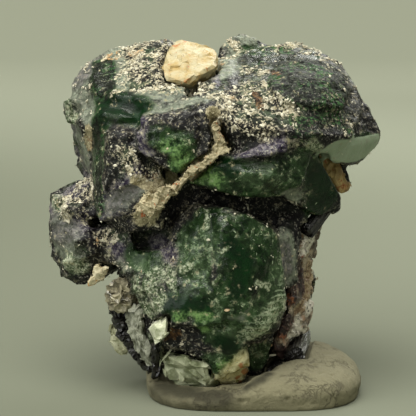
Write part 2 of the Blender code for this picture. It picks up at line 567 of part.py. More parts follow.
def make_putty():
    """A pressed lump: rings of points from a rounded oblong outline up over the pad, closed by a flat underside."""
    centre_x, centre_y = PUTTY_CENTRE
    bm = bmesh.new()
    rows = []
    for ring in range(PUTTY_RINGS):
        share = ring / PUTTY_RINGS
        spread = math.cos(share * math.pi / 2) ** PUTTY_STEEPNESS if ring else PUTTY_FOOT
        row = []
        for index in range(PUTTY_SIDES):
            angle = 2 * math.pi * index / PUTTY_SIDES
            wobble = 1 + 0.035 * noise.noise(Vector((math.cos(angle) * 1.7, math.sin(angle) * 1.7, 4.0)))
            cos, sin = math.cos(angle), math.sin(angle)
            square = (abs(cos) ** PUTTY_SQUARENESS + abs(sin) ** PUTTY_SQUARENESS) ** (-1 / PUTTY_SQUARENESS)
            x = centre_x + PUTTY_LENGTH / 2 * cos * square * wobble * spread
            y = centre_y + PUTTY_DEPTH / 2 * sin * square * wobble * spread
            climb = math.sin(share * math.pi / 2) ** PUTTY_STEEPNESS
            dent = PUTTY_DENTS * noise.noise(Vector((x, y, 0)) / PUTTY_DENT_SIZE)
            z = climb * (putty_height(x, y) + dent)
            row.append(bm.verts.new((x, y, max(0.0, z) if ring else 0.0)))
        rows.append(row)
    for lower, upper in zip(rows, rows[1:]):
        for index in range(PUTTY_SIDES):
            after = (index + 1) % PUTTY_SIDES
            bm.faces.new((lower[index], lower[after], upper[after], upper[index]))
    top = bm.verts.new((centre_x, centre_y, putty_height(centre_x, centre_y)))
    for index in range(PUTTY_SIDES):
        bm.faces.new((rows[-1][index], rows[-1][(index + 1) % PUTTY_SIDES], top))
    bm.faces.new(rows[0])
    bmesh.ops.triangulate(bm, faces=[face for face in bm.faces if len(face.verts) == 4])
    return object_from(bm, "putty_base", "putty")


def main():
    clear_scene()
    schorl_cutters = [prism_corners(start, end, radius) for _, start, end, radius in SCHORL_PRISMS]
    mica_cutters = mica_plate_corners()

    crystals = {}
    for name, start, end, radius in SCHORL_PRISMS:
        crystals.setdefault(name, []).append(make_schorl(name, start, end, radius))
    for name, prisms in crystals.items():
        combine(name, prisms)
    make_mica()
    weathered("feldspar_crystal", [FELDSPAR_TOP], "feldspar_cream", 11, triangles=220)
    weathered("feldspar_slab", [FELDSPAR_SLAB], "feldspar_cream", 12, triangles=160)
    weathered("feldspar_seam", SEAM_PIECES, "feldspar_grey", 15, bite=0.15, voxel=0.28, triangles=400)
    weathered("feldspar_cleavages", CLUSTER_FELDSPAR, "feldspar_cream", 16, bite=0.1, voxel=0.25, triangles=200)
    weathered("albite_fin", ALBITE_FIN, "feldspar_grey", 18, bite=0.1, voxel=0.25, triangles=120)
    in_blades = schorl_cutters + mica_cutters
    weathered("albite_blades", ALBITE_BLADES, "feldspar_grey", 17, in_blades, 0.05, voxel=0.22, triangles=360)
    weathered("feldspar_low_left", [LOW_FELDSPAR], "feldspar_cream", 14, schorl_cutters, triangles=160)
    weathered("feldspar_foot", [FELDSPAR_FOOT], "feldspar_grey", 13, schorl_cutters, triangles=200)
    in_rock = in_blades + ALBITE_BLADES + ALBITE_FIN + [LOW_FELDSPAR, FELDSPAR_FOOT]
    weathered("rock_matrix", MATRIX_LUMPS, "rusty_matrix", MATRIX_SEED, in_rock, 0.4, 3.4, triangles=680)

    fluorite = make_fluorite()
    set_in = schorl_cutters + mica_cutters + SEAM_PIECES + MATRIX_LUMPS + ALBITE_BLADES + ALBITE_FIN
    set_in += CLUSTER_FELDSPAR + [FELDSPAR_TOP, FELDSPAR_SLAB, FELDSPAR_FOOT, LOW_FELDSPAR]
    cut(fluorite, set_in)

    putty = make_putty()
    feet = [FRONT_CRYSTALS[name] for name in FEET_IN_PUTTY]
    cut(putty, feet + [FELDSPAR_FOOT] + schorl_cutters + MATRIX_LUMPS[2:])


main()
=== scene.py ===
# %% [markdown]
# # A phantom fluorite with schorl, dressed in Blender
#
# The specimen is a cluster of green fluorite cubes with a violet, almost black skin, grown together
# with cream feldspar, a small mica rosette, rusty rock and black schorl. It stands upright in a
# pressed lump of grey putty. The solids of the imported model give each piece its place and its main
# form. This lesson adds what is finer than those solids: growth steps, crumbs, cleavages, leaves,
# pits, and the finish of every surface.

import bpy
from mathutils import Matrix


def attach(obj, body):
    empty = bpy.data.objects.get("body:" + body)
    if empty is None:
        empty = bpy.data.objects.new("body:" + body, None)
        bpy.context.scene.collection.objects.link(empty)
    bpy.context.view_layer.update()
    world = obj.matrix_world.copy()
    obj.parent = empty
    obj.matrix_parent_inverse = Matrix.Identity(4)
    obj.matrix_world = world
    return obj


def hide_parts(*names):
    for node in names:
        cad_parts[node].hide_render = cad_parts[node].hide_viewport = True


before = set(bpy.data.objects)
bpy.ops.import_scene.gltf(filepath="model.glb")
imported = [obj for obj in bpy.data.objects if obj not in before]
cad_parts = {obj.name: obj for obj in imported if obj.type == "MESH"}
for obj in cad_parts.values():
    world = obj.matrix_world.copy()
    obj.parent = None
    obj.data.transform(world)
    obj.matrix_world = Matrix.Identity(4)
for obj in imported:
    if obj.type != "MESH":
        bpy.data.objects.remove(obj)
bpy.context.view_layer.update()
print("solids:", len(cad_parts))

# %% Blender's modules and the unit
import math
from types import SimpleNamespace

import bmesh
import bpy
import numpy as np
from mathutils import Matrix, Vector, kdtree, noise
from mathutils.bvhtree import BVHTree

MM = 0.001
scene = bpy.context.scene

# %% [markdown]
# ## The camera
#
# A long lens from about a quarter of a metre keeps the crystals' edges nearly parallel, as in the
# photograph. The camera looks slightly down, so that the tops of the crystals and the putty are
# seen.

# %% Camera
CAMERA_LENS = 151.2
CAMERA_SENSOR = 36.0
CAMERA_DISTANCE = 0.240
CAMERA_ELEVATION = math.radians(8)
MIDDLE = Vector((0, 0, 0.0245))

camera_data = bpy.data.cameras.new("camera")
camera_data.lens = CAMERA_LENS
camera_data.sensor_width = CAMERA_SENSOR
camera_data.clip_start = 0.01
camera_data.clip_end = 10
camera = bpy.data.objects.new("camera", camera_data)
scene.collection.objects.link(camera)
back = Vector((0, -math.cos(CAMERA_ELEVATION), math.sin(CAMERA_ELEVATION)))
camera.location = MIDDLE + back * CAMERA_DISTANCE
camera.rotation_mode = "QUATERNION"
camera.rotation_quaternion = (-back).to_track_quat("-Z", "Y")
scene.camera = camera
print("camera at", [round(c, 3) for c in camera.location])

# %% [markdown]
# ## Shader maths as plain expressions
#
# A finish is easier to read as arithmetic than as a list of nodes. A `Wire` holds one socket, and
# adding or multiplying it adds the Math node that does so. A `Finish` is one material, and its
# `node` method makes any other node: first its settings, then the values or links of its sockets.
# Colours that are blended are given as a screen shows them, from 0 to 255.

# %% Wire and Finish
class Wire:
    def __init__(self, socket):
        self.socket = socket
        self.tree = socket.id_data

    def math(self, operation, *others, clamp=False):
        made = self.tree.nodes.new("ShaderNodeMath")
        made.operation = operation
        made.use_clamp = clamp
        for slot, value in zip(made.inputs, others):
            plug(value, slot)
        return Wire(made.outputs[0])

    def __add__(self, other):
        return self.math("ADD", self, other)

    def __sub__(self, other):
        return self.math("SUBTRACT", self, other)

    def __rsub__(self, other):
        return self.math("SUBTRACT", other, self)

    def __mul__(self, other):
        return self.math("MULTIPLY", self, other)

    __radd__ = __add__
    __rmul__ = __mul__

    def clamped(self):
        return self.math("ADD", self, 0.0, clamp=True)

    def over(self, other):
        return self.math("MAXIMUM", self, other)

    def near(self, middle, reach):
        """1 where the value is at the middle, falling to 0 at the reach on both sides of it."""
        off = self - middle
        return 1.0 - off.math("MULTIPLY", off.math("ABSOLUTE", off), 1 / reach, clamp=True)


def plug(value, slot):
    """Links a wire to a socket, or sets the socket's own value."""
    if isinstance(value, Wire):
        slot.id_data.links.new(value.socket, slot)
    elif slot.type == "RGBA" and len(value) == 3:
        slot.default_value = (*value, 1.0)
    else:
        slot.default_value = value


# The sockets of a Mix node that mixes colours: its factor, its two colours, and what comes out.
MIX_SHARE, MIX_FIRST, MIX_SECOND, MIX_COLOUR = 0, 6, 7, 2


def srgb(red, green, blue):
    """A colour as a screen shows it, from 0 to 255, in the linear values that a shader wants."""
    shares = (red / 255, green / 255, blue / 255)
    return tuple(s / 12.92 if s <= 0.04045 else ((s + 0.055) / 1.055) ** 2.4 for s in shares)


class Finish:
    def __init__(self, name):
        self.material = bpy.data.materials.new(name)
        self.material.use_nodes = True
        self.tree = self.material.node_tree
        self.tree.nodes.clear()
        self.place = self.node("ShaderNodeTexCoord", out="Object")

    def node(self, kind, settings=None, sockets=None, out=0):
        made = self.tree.nodes.new(kind)
        for key, value in (settings or {}).items():
            setattr(made, key, value)
        for key, value in (sockets or {}).items():
            plug(value, made.inputs[key])
        return Wire(made.outputs[out])

    def mark(self, name):
        """A value kept on the mesh's points under this name."""
        return self.node("ShaderNodeAttribute", {"attribute_name": name}, out="Fac")

    def spots(self, size, detail=4.0, rough=0.55, warp=0.0, place=None, out="Fac"):
        """Cloudy noise from 0 to 1 whose largest blots are about this many millimetres across."""
        return self.node("ShaderNodeTexNoise", {}, {
            "Vector": place or self.place,
            "Scale": 1 / (size * MM),
            "Detail": detail,
            "Roughness": rough,
            "Distortion": warp,
        }, out=out)

    def cells(self, size, metric="EUCLIDEAN", place=None, out="Distance"):
        """Cells this many millimetres wide: the distance to each one's middle, or its own tone."""
        sockets = {"Vector": place or self.place, "Scale": 1 / (size * MM)}
        return self.node("ShaderNodeTexVoronoi", {"distance": metric}, sockets, out=out)

    def streaks(self, width, length, turn):
        """Noise drawn out along the turned Z axis, so that its blots are longer than they are wide."""
        drawn = self.node("ShaderNodeMapping", {"vector_type": "TEXTURE"},
                          {"Vector": self.place, "Rotation": turn, "Scale": (1, 1, length / width)})
        return self.spots(width, 3, 0.55, 0.3, place=drawn)

    def step(self, value, low, high):
        """0 below low, 1 above high, and a smooth rise between them."""
        return self.node("ShaderNodeMapRange", {"interpolation_type": "SMOOTHSTEP"},
                         {"Value": value, "From Min": low, "From Max": high})

    def blend(self, share, first, second):
        """The first colour where the share is 0, the second where it is 1."""
        first, second = (tone if isinstance(tone, Wire) else srgb(*tone) for tone in (first, second))
        return self.node("ShaderNodeMix", {"data_type": "RGBA"},
                         {MIX_SHARE: share, MIX_FIRST: first, MIX_SECOND: second}, out=MIX_COLOUR)

    def tones(self, value, low, high, first, second):
        """The first colour where the value is low, the second where it is high."""
        return self.blend(self.step(value, low, high), first, second)

    def bump(self, height, depth, strength):
        sockets = {"Height": height, "Distance": depth * MM, "Strength": strength}
        return self.node("ShaderNodeBump", {}, sockets)

    def principled(self, **values):
        sockets = {name.replace("_", " "): value for name, value in values.items()}
        return self.node("ShaderNodeBsdfPrincipled", {}, sockets)

    def opaque(self, tone, rough, bumps, **others):
        """The finished material of a surface that no light goes through."""
        return self.done(self.principled(Base_Color=tone, Roughness=rough, Normal=bumps, **others))

    def done(self, surface, volume=None):
        out = self.tree.nodes.new("ShaderNodeOutputMaterial")
        plug(surface, out.inputs["Surface"])
        if volume is not None:
            plug(volume, out.inputs["Volume"])
        print("finish", self.material.name, "has", len(self.tree.nodes), "nodes")
        return self.material

# %% [markdown]
# ## The backdrop
#
# The specimen stands in front of an even grey-green ground. A floor that curves up into a wall has
# no horizon: a plane's far edge is extruded upwards, and the crease between floor and wall is
# bevelled round.

# %% Backdrop
FLOOR_SIZE = 1.6
FAR_EDGE = 0.49 * FLOOR_SIZE
WALL_HEIGHT = 1.0
WALL_BEND = 0.35
BEND_STEPS = 24


def choose_nothing():
    """Leaves the editor in object mode with nothing selected."""
    if bpy.context.object and bpy.context.object.mode != "OBJECT":
        bpy.ops.object.mode_set(mode="OBJECT")
    bpy.ops.object.select_all(action="DESELECT")


def choose_edges(piece, wanted):
    """In edit mode, selects the edges that pass a test, and nothing else."""
    bpy.ops.mesh.select_all(action="DESELECT")
    form = bmesh.from_edit_mesh(piece.data)
    for edge in form.edges:
        edge.select_set(wanted(edge))
    bmesh.update_edit_mesh(piece.data)


def at_far_edge(edge):
    return all(vert.co.y > FAR_EDGE for vert in edge.verts)


def at_wall_foot(edge):
    return at_far_edge(edge) and all(vert.co.z < MM for vert in edge.verts)


choose_nothing()
bpy.ops.mesh.primitive_plane_add(size=FLOOR_SIZE, location=(0, 0, 0))
backdrop = bpy.context.object
backdrop.name = "backdrop"
bpy.ops.object.mode_set(mode="EDIT")
choose_edges(backdrop, at_far_edge)
bpy.ops.mesh.extrude_edges_move(TRANSFORM_OT_translate={"value": (0, 0, WALL_HEIGHT)})
choose_edges(backdrop, at_wall_foot)
bpy.ops.mesh.bevel(offset=WALL_BEND, segments=BEND_STEPS, affect="EDGES")
choose_nothing()
backdrop.select_set(True)
bpy.context.view_layer.objects.active = backdrop
bpy.ops.object.shade_smooth()
ground = Finish("grey_green_ground")
across, along = (ground.node("ShaderNodeSeparateXYZ", {}, {0: ground.place}, out=axis) for axis in "XY")
# Painted light and shade: the ground is darker near the specimen, where the lamps light it most, darker
# at the left than at the right, and lighter towards the wall, which gets less light.
near = ground.tones(across, -0.10, 0.10, (108, 112, 96), (122, 126, 110))
tone = ground.tones(along, 0.15, 0.60, near, (166, 170, 153))
backdrop.data.materials.clear()
backdrop.data.materials.append(ground.done(ground.principled(Base_Color=tone, Roughness=0.95)))
print("backdrop faces:", len(backdrop.data.polygons))

# %% [markdown]
# ## Light
#
# A sun with a very wide disc shines from above and in front, like a bright sky, so the tops are
# bright and the fronts fall into shade. One panel hangs over the specimen, one stands at its left,
# and one behind it shines into the clear crystals. Their bright green windows come partly from that
# lamp and partly from painted light in the fluorite's finish.

# %% Lamps
def lamp(name, kind, place, power, colour, **settings):
    """A lamp that looks at the middle of the specimen."""
    data = bpy.data.lights.new(name, kind)
    data.energy = power
    data.color = colour
    for key, value in settings.items():
        setattr(data, key, value)
    made = bpy.data.objects.new(name, data)
    made.location = place
    made.rotation_mode = "QUATERNION"
    made.rotation_quaternion = (MIDDLE - Vector(place)).to_track_quat("-Z", "Y")
    scene.collection.objects.link(made)


ROOM_COLOUR = (188, 192, 174)
ROOM_LIGHT = 0.40

lamp("key_sky", "SUN", (-0.20, -0.50, 1.0), 2.6, (1.0, 0.985, 0.90), angle=math.radians(75))
for name, place, power, colour, width, height in (
    ("top_panel", (-0.04, -0.06, 0.30), 0.45, (1.0, 0.99, 0.93), 0.20, 0.16),
    ("left_panel", (-0.30, -0.22, 0.14), 0.35, (0.98, 0.99, 1.0), 0.20, 0.30),
    ("back_panel", (0.12, 0.26, 0.26), 0.8, (1.0, 1.0, 0.95), 0.24, 0.16),
):
    lamp(name, "AREA", place, power, colour, shape="RECTANGLE", size=width, size_y=height)

world = bpy.data.worlds.new("soft_room")
world.use_nodes = True
room = world.node_tree.nodes["Background"].inputs
room["Color"].default_value = (*srgb(*ROOM_COLOUR), 1.0)
room["Strength"].default_value = ROOM_LIGHT
scene.world = world
scene.view_settings.view_transform = "Standard"

# %% [markdown]
# ## Working on a copy of a solid
#
# A solid of the model is never changed itself. Its copy is welded, because it comes as loose
# triangles, and is then drawn again on a fine even grid by a voxel Remesh, which leaves enough
# points to carve small forms with. Soft clouds of noise, and little cubes that each have their own
# height, say how far each point is pushed.

# %% Copies, modifiers and points
WELD = 0.002


def choose(piece):
    choose_nothing()
    piece.select_set(True)
    bpy.context.view_layer.objects.active = piece


def take_solid(node, name):
    """A welded copy of one of the model's solids."""
    copy = bpy.data.objects.new(name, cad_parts[node].data.copy())
    scene.collection.objects.link(copy)
    choose(copy)
    bpy.ops.object.mode_set(mode="EDIT")
    bpy.ops.mesh.select_all(action="SELECT")
    bpy.ops.mesh.remove_doubles(threshold=WELD * MM)
    choose_nothing()
    copy.data.materials.clear()
    return copy


def finish_modifier(piece, kind, **settings):
    """Adds a modifier and applies it at once."""
    choose(piece)
    made = piece.modifiers.new("step", kind)
    for key, value in settings.items():
        setattr(made, key, value)
    bpy.ops.object.modifier_apply(modifier=made.name)


def redraw(piece, grid, smoothings=0):
    """Draws a piece again on an even grid, whose width is given in millimetres."""
    finish_modifier(piece, "REMESH", mode="VOXEL", voxel_size=grid * MM)
    if smoothings:
        finish_modifier(piece, "SMOOTH", factor=0.5, iterations=smoothings)


def shape_of(piece):
    """Each point of a piece in millimetres, and the way that it faces."""
    places = np.empty(3 * len(piece.data.vertices))
    facing = np.empty(len(places))
    piece.data.vertices.foreach_get("co", places)
    piece.data.vertices.foreach_get("normal", facing)
    return places.reshape(-1, 3) / MM, facing.reshape(-1, 3)


def surface_of(piece):
    """A piece's surface as it is now, which a ray can hit."""
    return BVHTree.FromObject(piece, bpy.context.evaluated_depsgraph_get())


def triangles(piece):
    return sum(len(face.vertices) - 2 for face in piece.data.polygons)


def move_points(piece, points):
    piece.data.vertices.foreach_set("co", (points * MM).ravel())
    piece.data.update()


def keep_mark(piece, name, values):
    """Keeps one number for each point of the mesh, for the finish to read."""
    mark = piece.data.attributes.new(name, "FLOAT", "POINT")
    mark.data.foreach_set("value", np.asarray(values, np.float32))


def smooth_step(values, low, high):
    share = np.clip((values - low) / (high - low), 0, 1)
    return share * share * (3 - 2 * share)


def clouds(points, size, seed, octaves=3, rough=0.5):
    """Soft noise from about -1 to 1 at each point, in blots of the given size in millimetres."""
    shift = Vector((7.3 * seed, 3.1 * seed, 5.7 * seed))
    shares = [rough ** octave for octave in range(octaves)]
    values = [
        sum(share * noise.noise((Vector(point) / size + shift) * 2 ** octave)
            for octave, share in enumerate(shares))
        for point in points
    ]
    return np.array(values) / sum(shares)


def blocks(points, size, seed, turn):
    """A random height from -1 to 1 in each little cube of space, as in a crystal's growth."""
    turned = points @ np.array(turn).T / size + 11.7 * seed
    return 2 * np.array([noise.cell(Vector(point)) for point in turned]) - 1


def tilt(around_z, around_x):
    """A turn around X and then around Z, both in radians."""
    return Matrix.Rotation(around_z, 3, "Z") @ Matrix.Rotation(around_x, 3, "X")


def round_noise(angles, ring, heights):
    """Noise along a circle that closes on itself: the wider its ring, the finer it is."""
    return np.array([
        noise.noise(Vector((ring * math.cos(angle), ring * math.sin(angle), height)))
        for angle, height in zip(angles, heights)
    ])


def show(piece, node, slot):
    """Hides the solid that a piece stands in for, and lets the piece ride on the model."""
    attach(piece, "root")
    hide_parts(node)
    print(piece.name, "has", triangles(piece), "triangles")

# %% [markdown]
# ## The fluorite: its form
#
# Fluorite grows in cubes, and a cube's face is itself a mosaic of smaller blocks that stand a hair
# above or below each other. The copy of the fluorite is drawn again with points a third of a
# millimetre apart. Each point is then pushed in or out by the height of the little block it lies
# in, by soft waves where the glass is broken, and by crumbs where the faces are rough. A point also
# keeps how far it lies from the nearest sharp corner, because the violet skin follows the corners.

# %% Fluorite on a fine grid
FLUORITE_GRID = 0.34
CORNER_FOLD = math.radians(28)  # an edge that folds more than this is a crystal's corner
CORNER_STEP = 0.4
FLAT_FROM = 0.7  # how far from a corner the smoothing reaches its full strength
TERRACE_SMOOTHINGS = 9

fluorite = take_solid("fluorite", "fluorite_crystals")
corner_points = []
shape = bmesh.new()
shape.from_mesh(fluorite.data)
for edge in shape.edges:
    if len(edge.link_faces) == 2 and edge.calc_face_angle_signed(0.0) > CORNER_FOLD:
        count = max(1, int(edge.calc_length() / (CORNER_STEP * MM)))
        start, end = (vert.co / MM for vert in edge.verts)
        corner_points += [start.lerp(end, step / count) for step in range(count + 1)]
shape.free()
corners = kdtree.KDTree(len(corner_points))
for index, point in enumerate(corner_points):
    corners.insert(point, index)
corners.balance()
redraw(fluorite, FLUORITE_GRID)
# The grid leaves small terraces on the faces. They're smoothed away, and the sharp edges are almost
# left alone.
to_corner = np.array([corners.find(Vector(point))[2] for point in shape_of(fluorite)[0]])
faces_only = fluorite.vertex_groups.new(name="faces_only")
for weight in (0.25, 0.5, 0.75, 1.0):
    faces_only.add(np.flatnonzero(to_corner > FLAT_FROM * weight).tolist(), weight, "REPLACE")
finish_modifier(fluorite, "SMOOTH", factor=0.5, iterations=1)
finish_modifier(fluorite, "SMOOTH", factor=0.5, iterations=TERRACE_SMOOTHINGS,
                vertex_group="faces_only")
print("fluorite points:", len(fluorite.data.vertices), "corner points:", len(corner_points))

# %% [markdown]
# ## Where things are on the crystals
#
# The photograph shows which part of the cluster is clear, which is frosted and which is covered in
# crumbs. That is marked as one would with a brush: a stroke has a reach in millimetres and goes
# through columns and rows of the photograph. A ray from the camera through each step of the stroke
# finds the place on the crystal itself.

# %% Brush strokes on a surface
PHOTO_SIDE = 416
HALF_VIEW = CAMERA_SENSOR / CAMERA_LENS / 2
STROKE_STEP = 3.0  # columns or rows of the photograph between two touches of the brush


def seen_at(column, row, surface):
    """The point, in millimetres, where a pixel of the photograph falls on a surface."""
    across = (column / PHOTO_SIDE - 0.5) * 2 * HALF_VIEW
    up = (0.5 - row / PHOTO_SIDE) * 2 * HALF_VIEW
    ray = (camera.rotation_quaternion @ Vector((across, up, -1))).normalized()
    hit = surface.ray_cast(camera.location, ray)[0]
    if hit is None:
        hit = surface.find_nearest(camera.location + ray * CAMERA_DISTANCE)[0]
    return hit / MM


def stroke_touches(stops):
    """Even steps along a stroke that goes through these columns and rows."""
    touches = [Vector(stops[0])]
    for start, end in zip(map(Vector, stops), map(Vector, stops[1:])):
        count = max(1, round((end - start).length / STROKE_STEP))
        touches += [start.lerp(end, (step + 1) / count) for step in range(count)]
    return touches


def brushed(points, surface, strokes):
    """For each point, 1 in the middle of the nearest stroke, falling to 0 at its reach."""
    value = np.zeros(len(points))
    for reach, *stops in strokes:
        for touch in stroke_touches(stops):
            away = np.linalg.norm(points - np.array(seen_at(touch[0], touch[1], surface)), axis=1)
            value = np.maximum(value, 1 - away / reach)
    return value

# %% The strokes, each as its reach and the places it goes through
STROKES = {
    "clear": [
        (3.2, (106, 104), (116, 106), (138, 110)), (2.4, (102, 62), (104, 96)),
        (2.4, (100, 122), (98, 150), (96, 176)), (2.4, (160, 138), (184, 146), (180, 166)),
        (3.0, (190, 176), (214, 172), (240, 176), (268, 178), (286, 172)),
        (3.0, (232, 190), (262, 196), (290, 178)), (2.6, (304, 160), (322, 180), (316, 208)),
        (3.6, (206, 222), (228, 240), (240, 270), (230, 300)),
        (3.4, (250, 232), (268, 250), (276, 290), (262, 318)),
        (3.0, (190, 236), (196, 262), (190, 290), (176, 306)),
        (3.0, (206, 300), (214, 330), (236, 330)), (2.6, (196, 362), (214, 368), (262, 356)),
        (2.6, (336, 152), (366, 146)), (2.4, (134, 256), (150, 262)),
    ],
    # Painted light: bright green bands where the clear crystal should seem lit from behind.
    "glow": [
        (3.0, (170, 150), (182, 162)), (1.8, (176, 158), (184, 170)),
        (2.6, (192, 180), (206, 174), (214, 182)), (1.4, (272, 66), (282, 76)),
        (1.5, (176, 318), (188, 317), (206, 318)), (1.2, (186, 332), (206, 329)),
        (1.8, (146, 296), (150, 312), (152, 330)), (1.8, (222, 366), (236, 362)),
        (1.4, (250, 98), (270, 84)),
    ],
    "pale": [
        (2.4, (138, 290), (150, 284), (160, 276)), (1.8, (140, 306), (150, 312), (158, 300)),
        (1.6, (136, 320), (142, 334), (152, 342)), (1.4, (166, 270), (172, 284)),
        (2.4, (252, 336), (266, 324), (278, 306)), (0.8, (258, 284), (268, 286)),
        (0.5, (222, 252), (228, 248)), (0.5, (214, 284), (220, 276)), (0.8, (182, 270), (190, 266)),
        (0.7, (206, 210), (208, 226)), (1.8, (66, 100), (70, 118)), (2.0, (52, 200), (58, 204)),
        (2.2, (64, 262), (80, 268)), (1.2, (196, 362), (208, 372)), (1.3, (312, 142), (320, 152)),
    ],
    # A smooth facet at the lower right: its smooth finish is real, and its pale green is painted light,
    # as if lit through from behind.
    "satin": [(2.8, (334, 152), (352, 150), (370, 144)), (1.8, (322, 162), (326, 158))],
    "deep": [
        (2.8, (110, 102), (126, 106), (138, 110)), (1.8, (230, 246), (246, 262), (236, 290)),
        (1.6, (172, 306), (196, 306), (206, 312)), (2.8, (316, 176), (330, 190), (318, 206)),
        (1.6, (101, 114), (100, 126)), (1.8, (214, 164), (232, 168)), (1.4, (220, 342), (232, 346)),
    ],
    "haze": [
        (4.0, (262, 334), (276, 308), (282, 276)), (2.8, (176, 236), (194, 262), (200, 280)),
        (2.8, (212, 318), (240, 334)), (2.6, (128, 262), (152, 268)),
        (1.6, (226, 160), (246, 156), (268, 164)), (2.0, (250, 180), (276, 176)),
        (3.0, (194, 182), (212, 184)), (2.6, (250, 364), (262, 352)), (1.8, (196, 352), (216, 356)),
        (2.4, (204, 236), (214, 262)),
    ],
    "fan": [(2.2, (256, 332), (270, 314)), (1.5, (274, 302), (282, 292))],
    "seam": [
        (1.3, (212, 112), (215, 124)), (1.9, (220, 134), (224, 146)), (1.5, (208, 156), (188, 172)),
        (1.8, (170, 182), (156, 192)), (2.3, (152, 200), (146, 212)), (0.9, (136, 180), (150, 186)),
        (0.8, (88, 130), (88, 146)),
    ],
    "frost": [
        (4.2, (98, 52), (86, 66), (76, 88)), (2.6, (80, 100), (92, 116)),
        (2.4, (112, 50), (114, 72), (118, 86)), (2.0, (142, 112), (164, 108), (186, 102), (204, 98)),
        (1.6, (140, 92), (166, 96), (196, 84)), (3.0, (220, 74), (232, 60), (240, 52)),
        (1.2, (300, 82), (310, 88)), (2.6, (74, 130), (84, 150), (86, 170)),
        (2.2, (126, 262), (142, 256)), (2.4, (56, 244), (74, 260)),
        (2.2, (286, 238), (290, 256), (290, 274)), (2.0, (236, 322), (250, 318)),
        (2.8, (222, 34), (238, 40)), (1.8, (286, 188), (296, 198)), (1.6, (250, 192), (262, 198)),
        (2.0, (110, 206), (132, 190), (142, 184)), (3.0, (56, 222), (70, 236), (66, 256)),
    ],
    "lilac": [
        (2.0, (240, 158), (258, 152), (282, 144)), (2.4, (108, 212), (120, 194), (138, 178)),
        (1.6, (70, 124), (80, 160), (86, 174)), (2.0, (158, 242), (170, 256)),
        (2.6, (50, 212), (66, 196), (86, 180)), (2.4, (54, 234), (72, 230), (84, 222)),
        (1.8, (114, 246), (124, 254)), (0.9, (216, 76), (216, 84)), (1.8, (138, 118), (146, 150)),
        (3.0, (92, 58), (82, 76)), (1.6, (286, 250), (288, 268)), (1.6, (66, 100), (70, 116)),
        (1.6, (100, 190), (104, 214)),
    ],
    "druse": [
        (1.8, (130, 48), (148, 42)), (3.0, (128, 60), (150, 62), (164, 54)),
        (3.2, (122, 84), (140, 74), (158, 74)), (1.8, (116, 92), (138, 88), (166, 86), (204, 88)),
        (1.8, (206, 74), (214, 70)), (1.8, (218, 96), (236, 92), (256, 84)),
        (2.1, (222, 112), (246, 104), (268, 100), (294, 112)), (2.0, (252, 116), (266, 128)),
        (1.4, (226, 122), (244, 124)), (1.5, (246, 68), (262, 72)), (1.0, (224, 42), (236, 46)),
        (1.0, (262, 50), (278, 54)), (1.0, (300, 52), (322, 58), (334, 72)),
        (1.4, (126, 150), (130, 168)), (1.2, (346, 132), (352, 124)), (1.0, (354, 104), (356, 112)),
        (2.4, (78, 194), (88, 186)), (1.4, (58, 200), (64, 214)), (1.4, (98, 236), (112, 238)),
        (1.2, (84, 214), (90, 222)), (1.2, (212, 126), (216, 148), (196, 164)),
        (1.0, (140, 176), (160, 172)),
    ],
    "granular": [
        (5.0, (312, 84), (326, 96), (334, 116)), (3.6, (286, 74), (306, 96), (318, 122)),
        (5.0, (266, 56), (300, 58), (330, 66), (346, 92)), (2.6, (300, 128), (322, 136)),
        (2.0, (103, 66), (105, 92)), (2.2, (100, 128), (99, 160), (97, 206)),
    ],
    # Dark marks: partly the violet-black skin, as on the black rim at the right, and partly painted
    # shade, as in the recess under the overhang.
    "dark": [
        (3.0, (176, 204), (200, 198), (236, 206), (268, 212)),
        (2.8, (112, 226), (130, 224), (158, 214), (184, 216)),
        (2.6, (282, 208), (294, 228), (290, 214)),
        (2.6, (238, 132), (268, 138), (300, 140), (336, 138)),
        (2.4, (322, 48), (344, 72), (354, 96), (346, 118)), (2.4, (108, 124), (134, 124)),
        (2.2, (176, 340), (192, 344), (206, 342)), (2.2, (90, 236), (104, 254)),
        (1.6, (74, 282), (98, 276)), (2.2, (112, 140), (108, 180)),
        (2.0, (158, 118), (180, 124), (196, 116)), (2.0, (320, 200), (336, 198)),
        (1.6, (142, 122), (140, 160)), (1.6, (206, 118), (200, 150)), (2.0, (104, 240), (118, 256)),
        (2.4, (352, 76), (364, 98), (372, 128)),
    ],
    "rust": [
        (1.5, (164, 336), (174, 334)), (0.7, (241, 366), (246, 373)), (0.6, (238, 378), (240, 382)),
        (0.9, (138, 310), (142, 318)), (0.8, (148, 176), (158, 178)), (0.9, (256, 94), (262, 108)),
        (0.8, (270, 70), (278, 74)),
    ],
    "honey": [(2.8, (220, 382), (232, 376), (246, 364))],
}
print("strokes:", sum(len(strokes) for strokes in STROKES.values()))

# %% Marks and noise at each point of the fluorite
spots, facing = shape_of(fluorite)
surface = surface_of(fluorite)
marks = {name: brushed(spots, surface, strokes) for name, strokes in STROKES.items()}
wide_noise = clouds(spots, 6.0, 1)
fine_noise = clouds(spots, 1.1, 2, octaves=4)

# The far side isn't in the photograph: clear green in the middle of a face, skin along its corners,
# crumbs on top. Faces that look down, on every side, get the dark mark as painted shade.
hidden = np.maximum(smooth_step(spots[:, 1], 0.5, 4.0), smooth_step(facing[:, 1], 0.15, 0.5))
on_top = smooth_step(facing[:, 2], 0.45, 0.8)
for name, values in (
    ("clear", hidden * smooth_step(to_corner + 1.2 * wide_noise, 1.2, 3.0)),
    ("druse", 0.8 * hidden * on_top * smooth_step(wide_noise, -0.05, 0.35)),
    ("frost", 0.8 * hidden * smooth_step(-wide_noise, 0.05, 0.4)),
    ("dark", 0.8 * smooth_step(-facing[:, 2], 0.55, 0.9) * (1 - marks["pale"])),
):
    marks[name] = np.maximum(marks[name], values)
marks["satin"] *= smooth_step(-facing[:, 2], -0.30, -0.10)
for name in ("frost", "druse"):
    marks[name] *= 1 - 0.8 * smooth_step(marks["granular"], 0.0, 0.4)
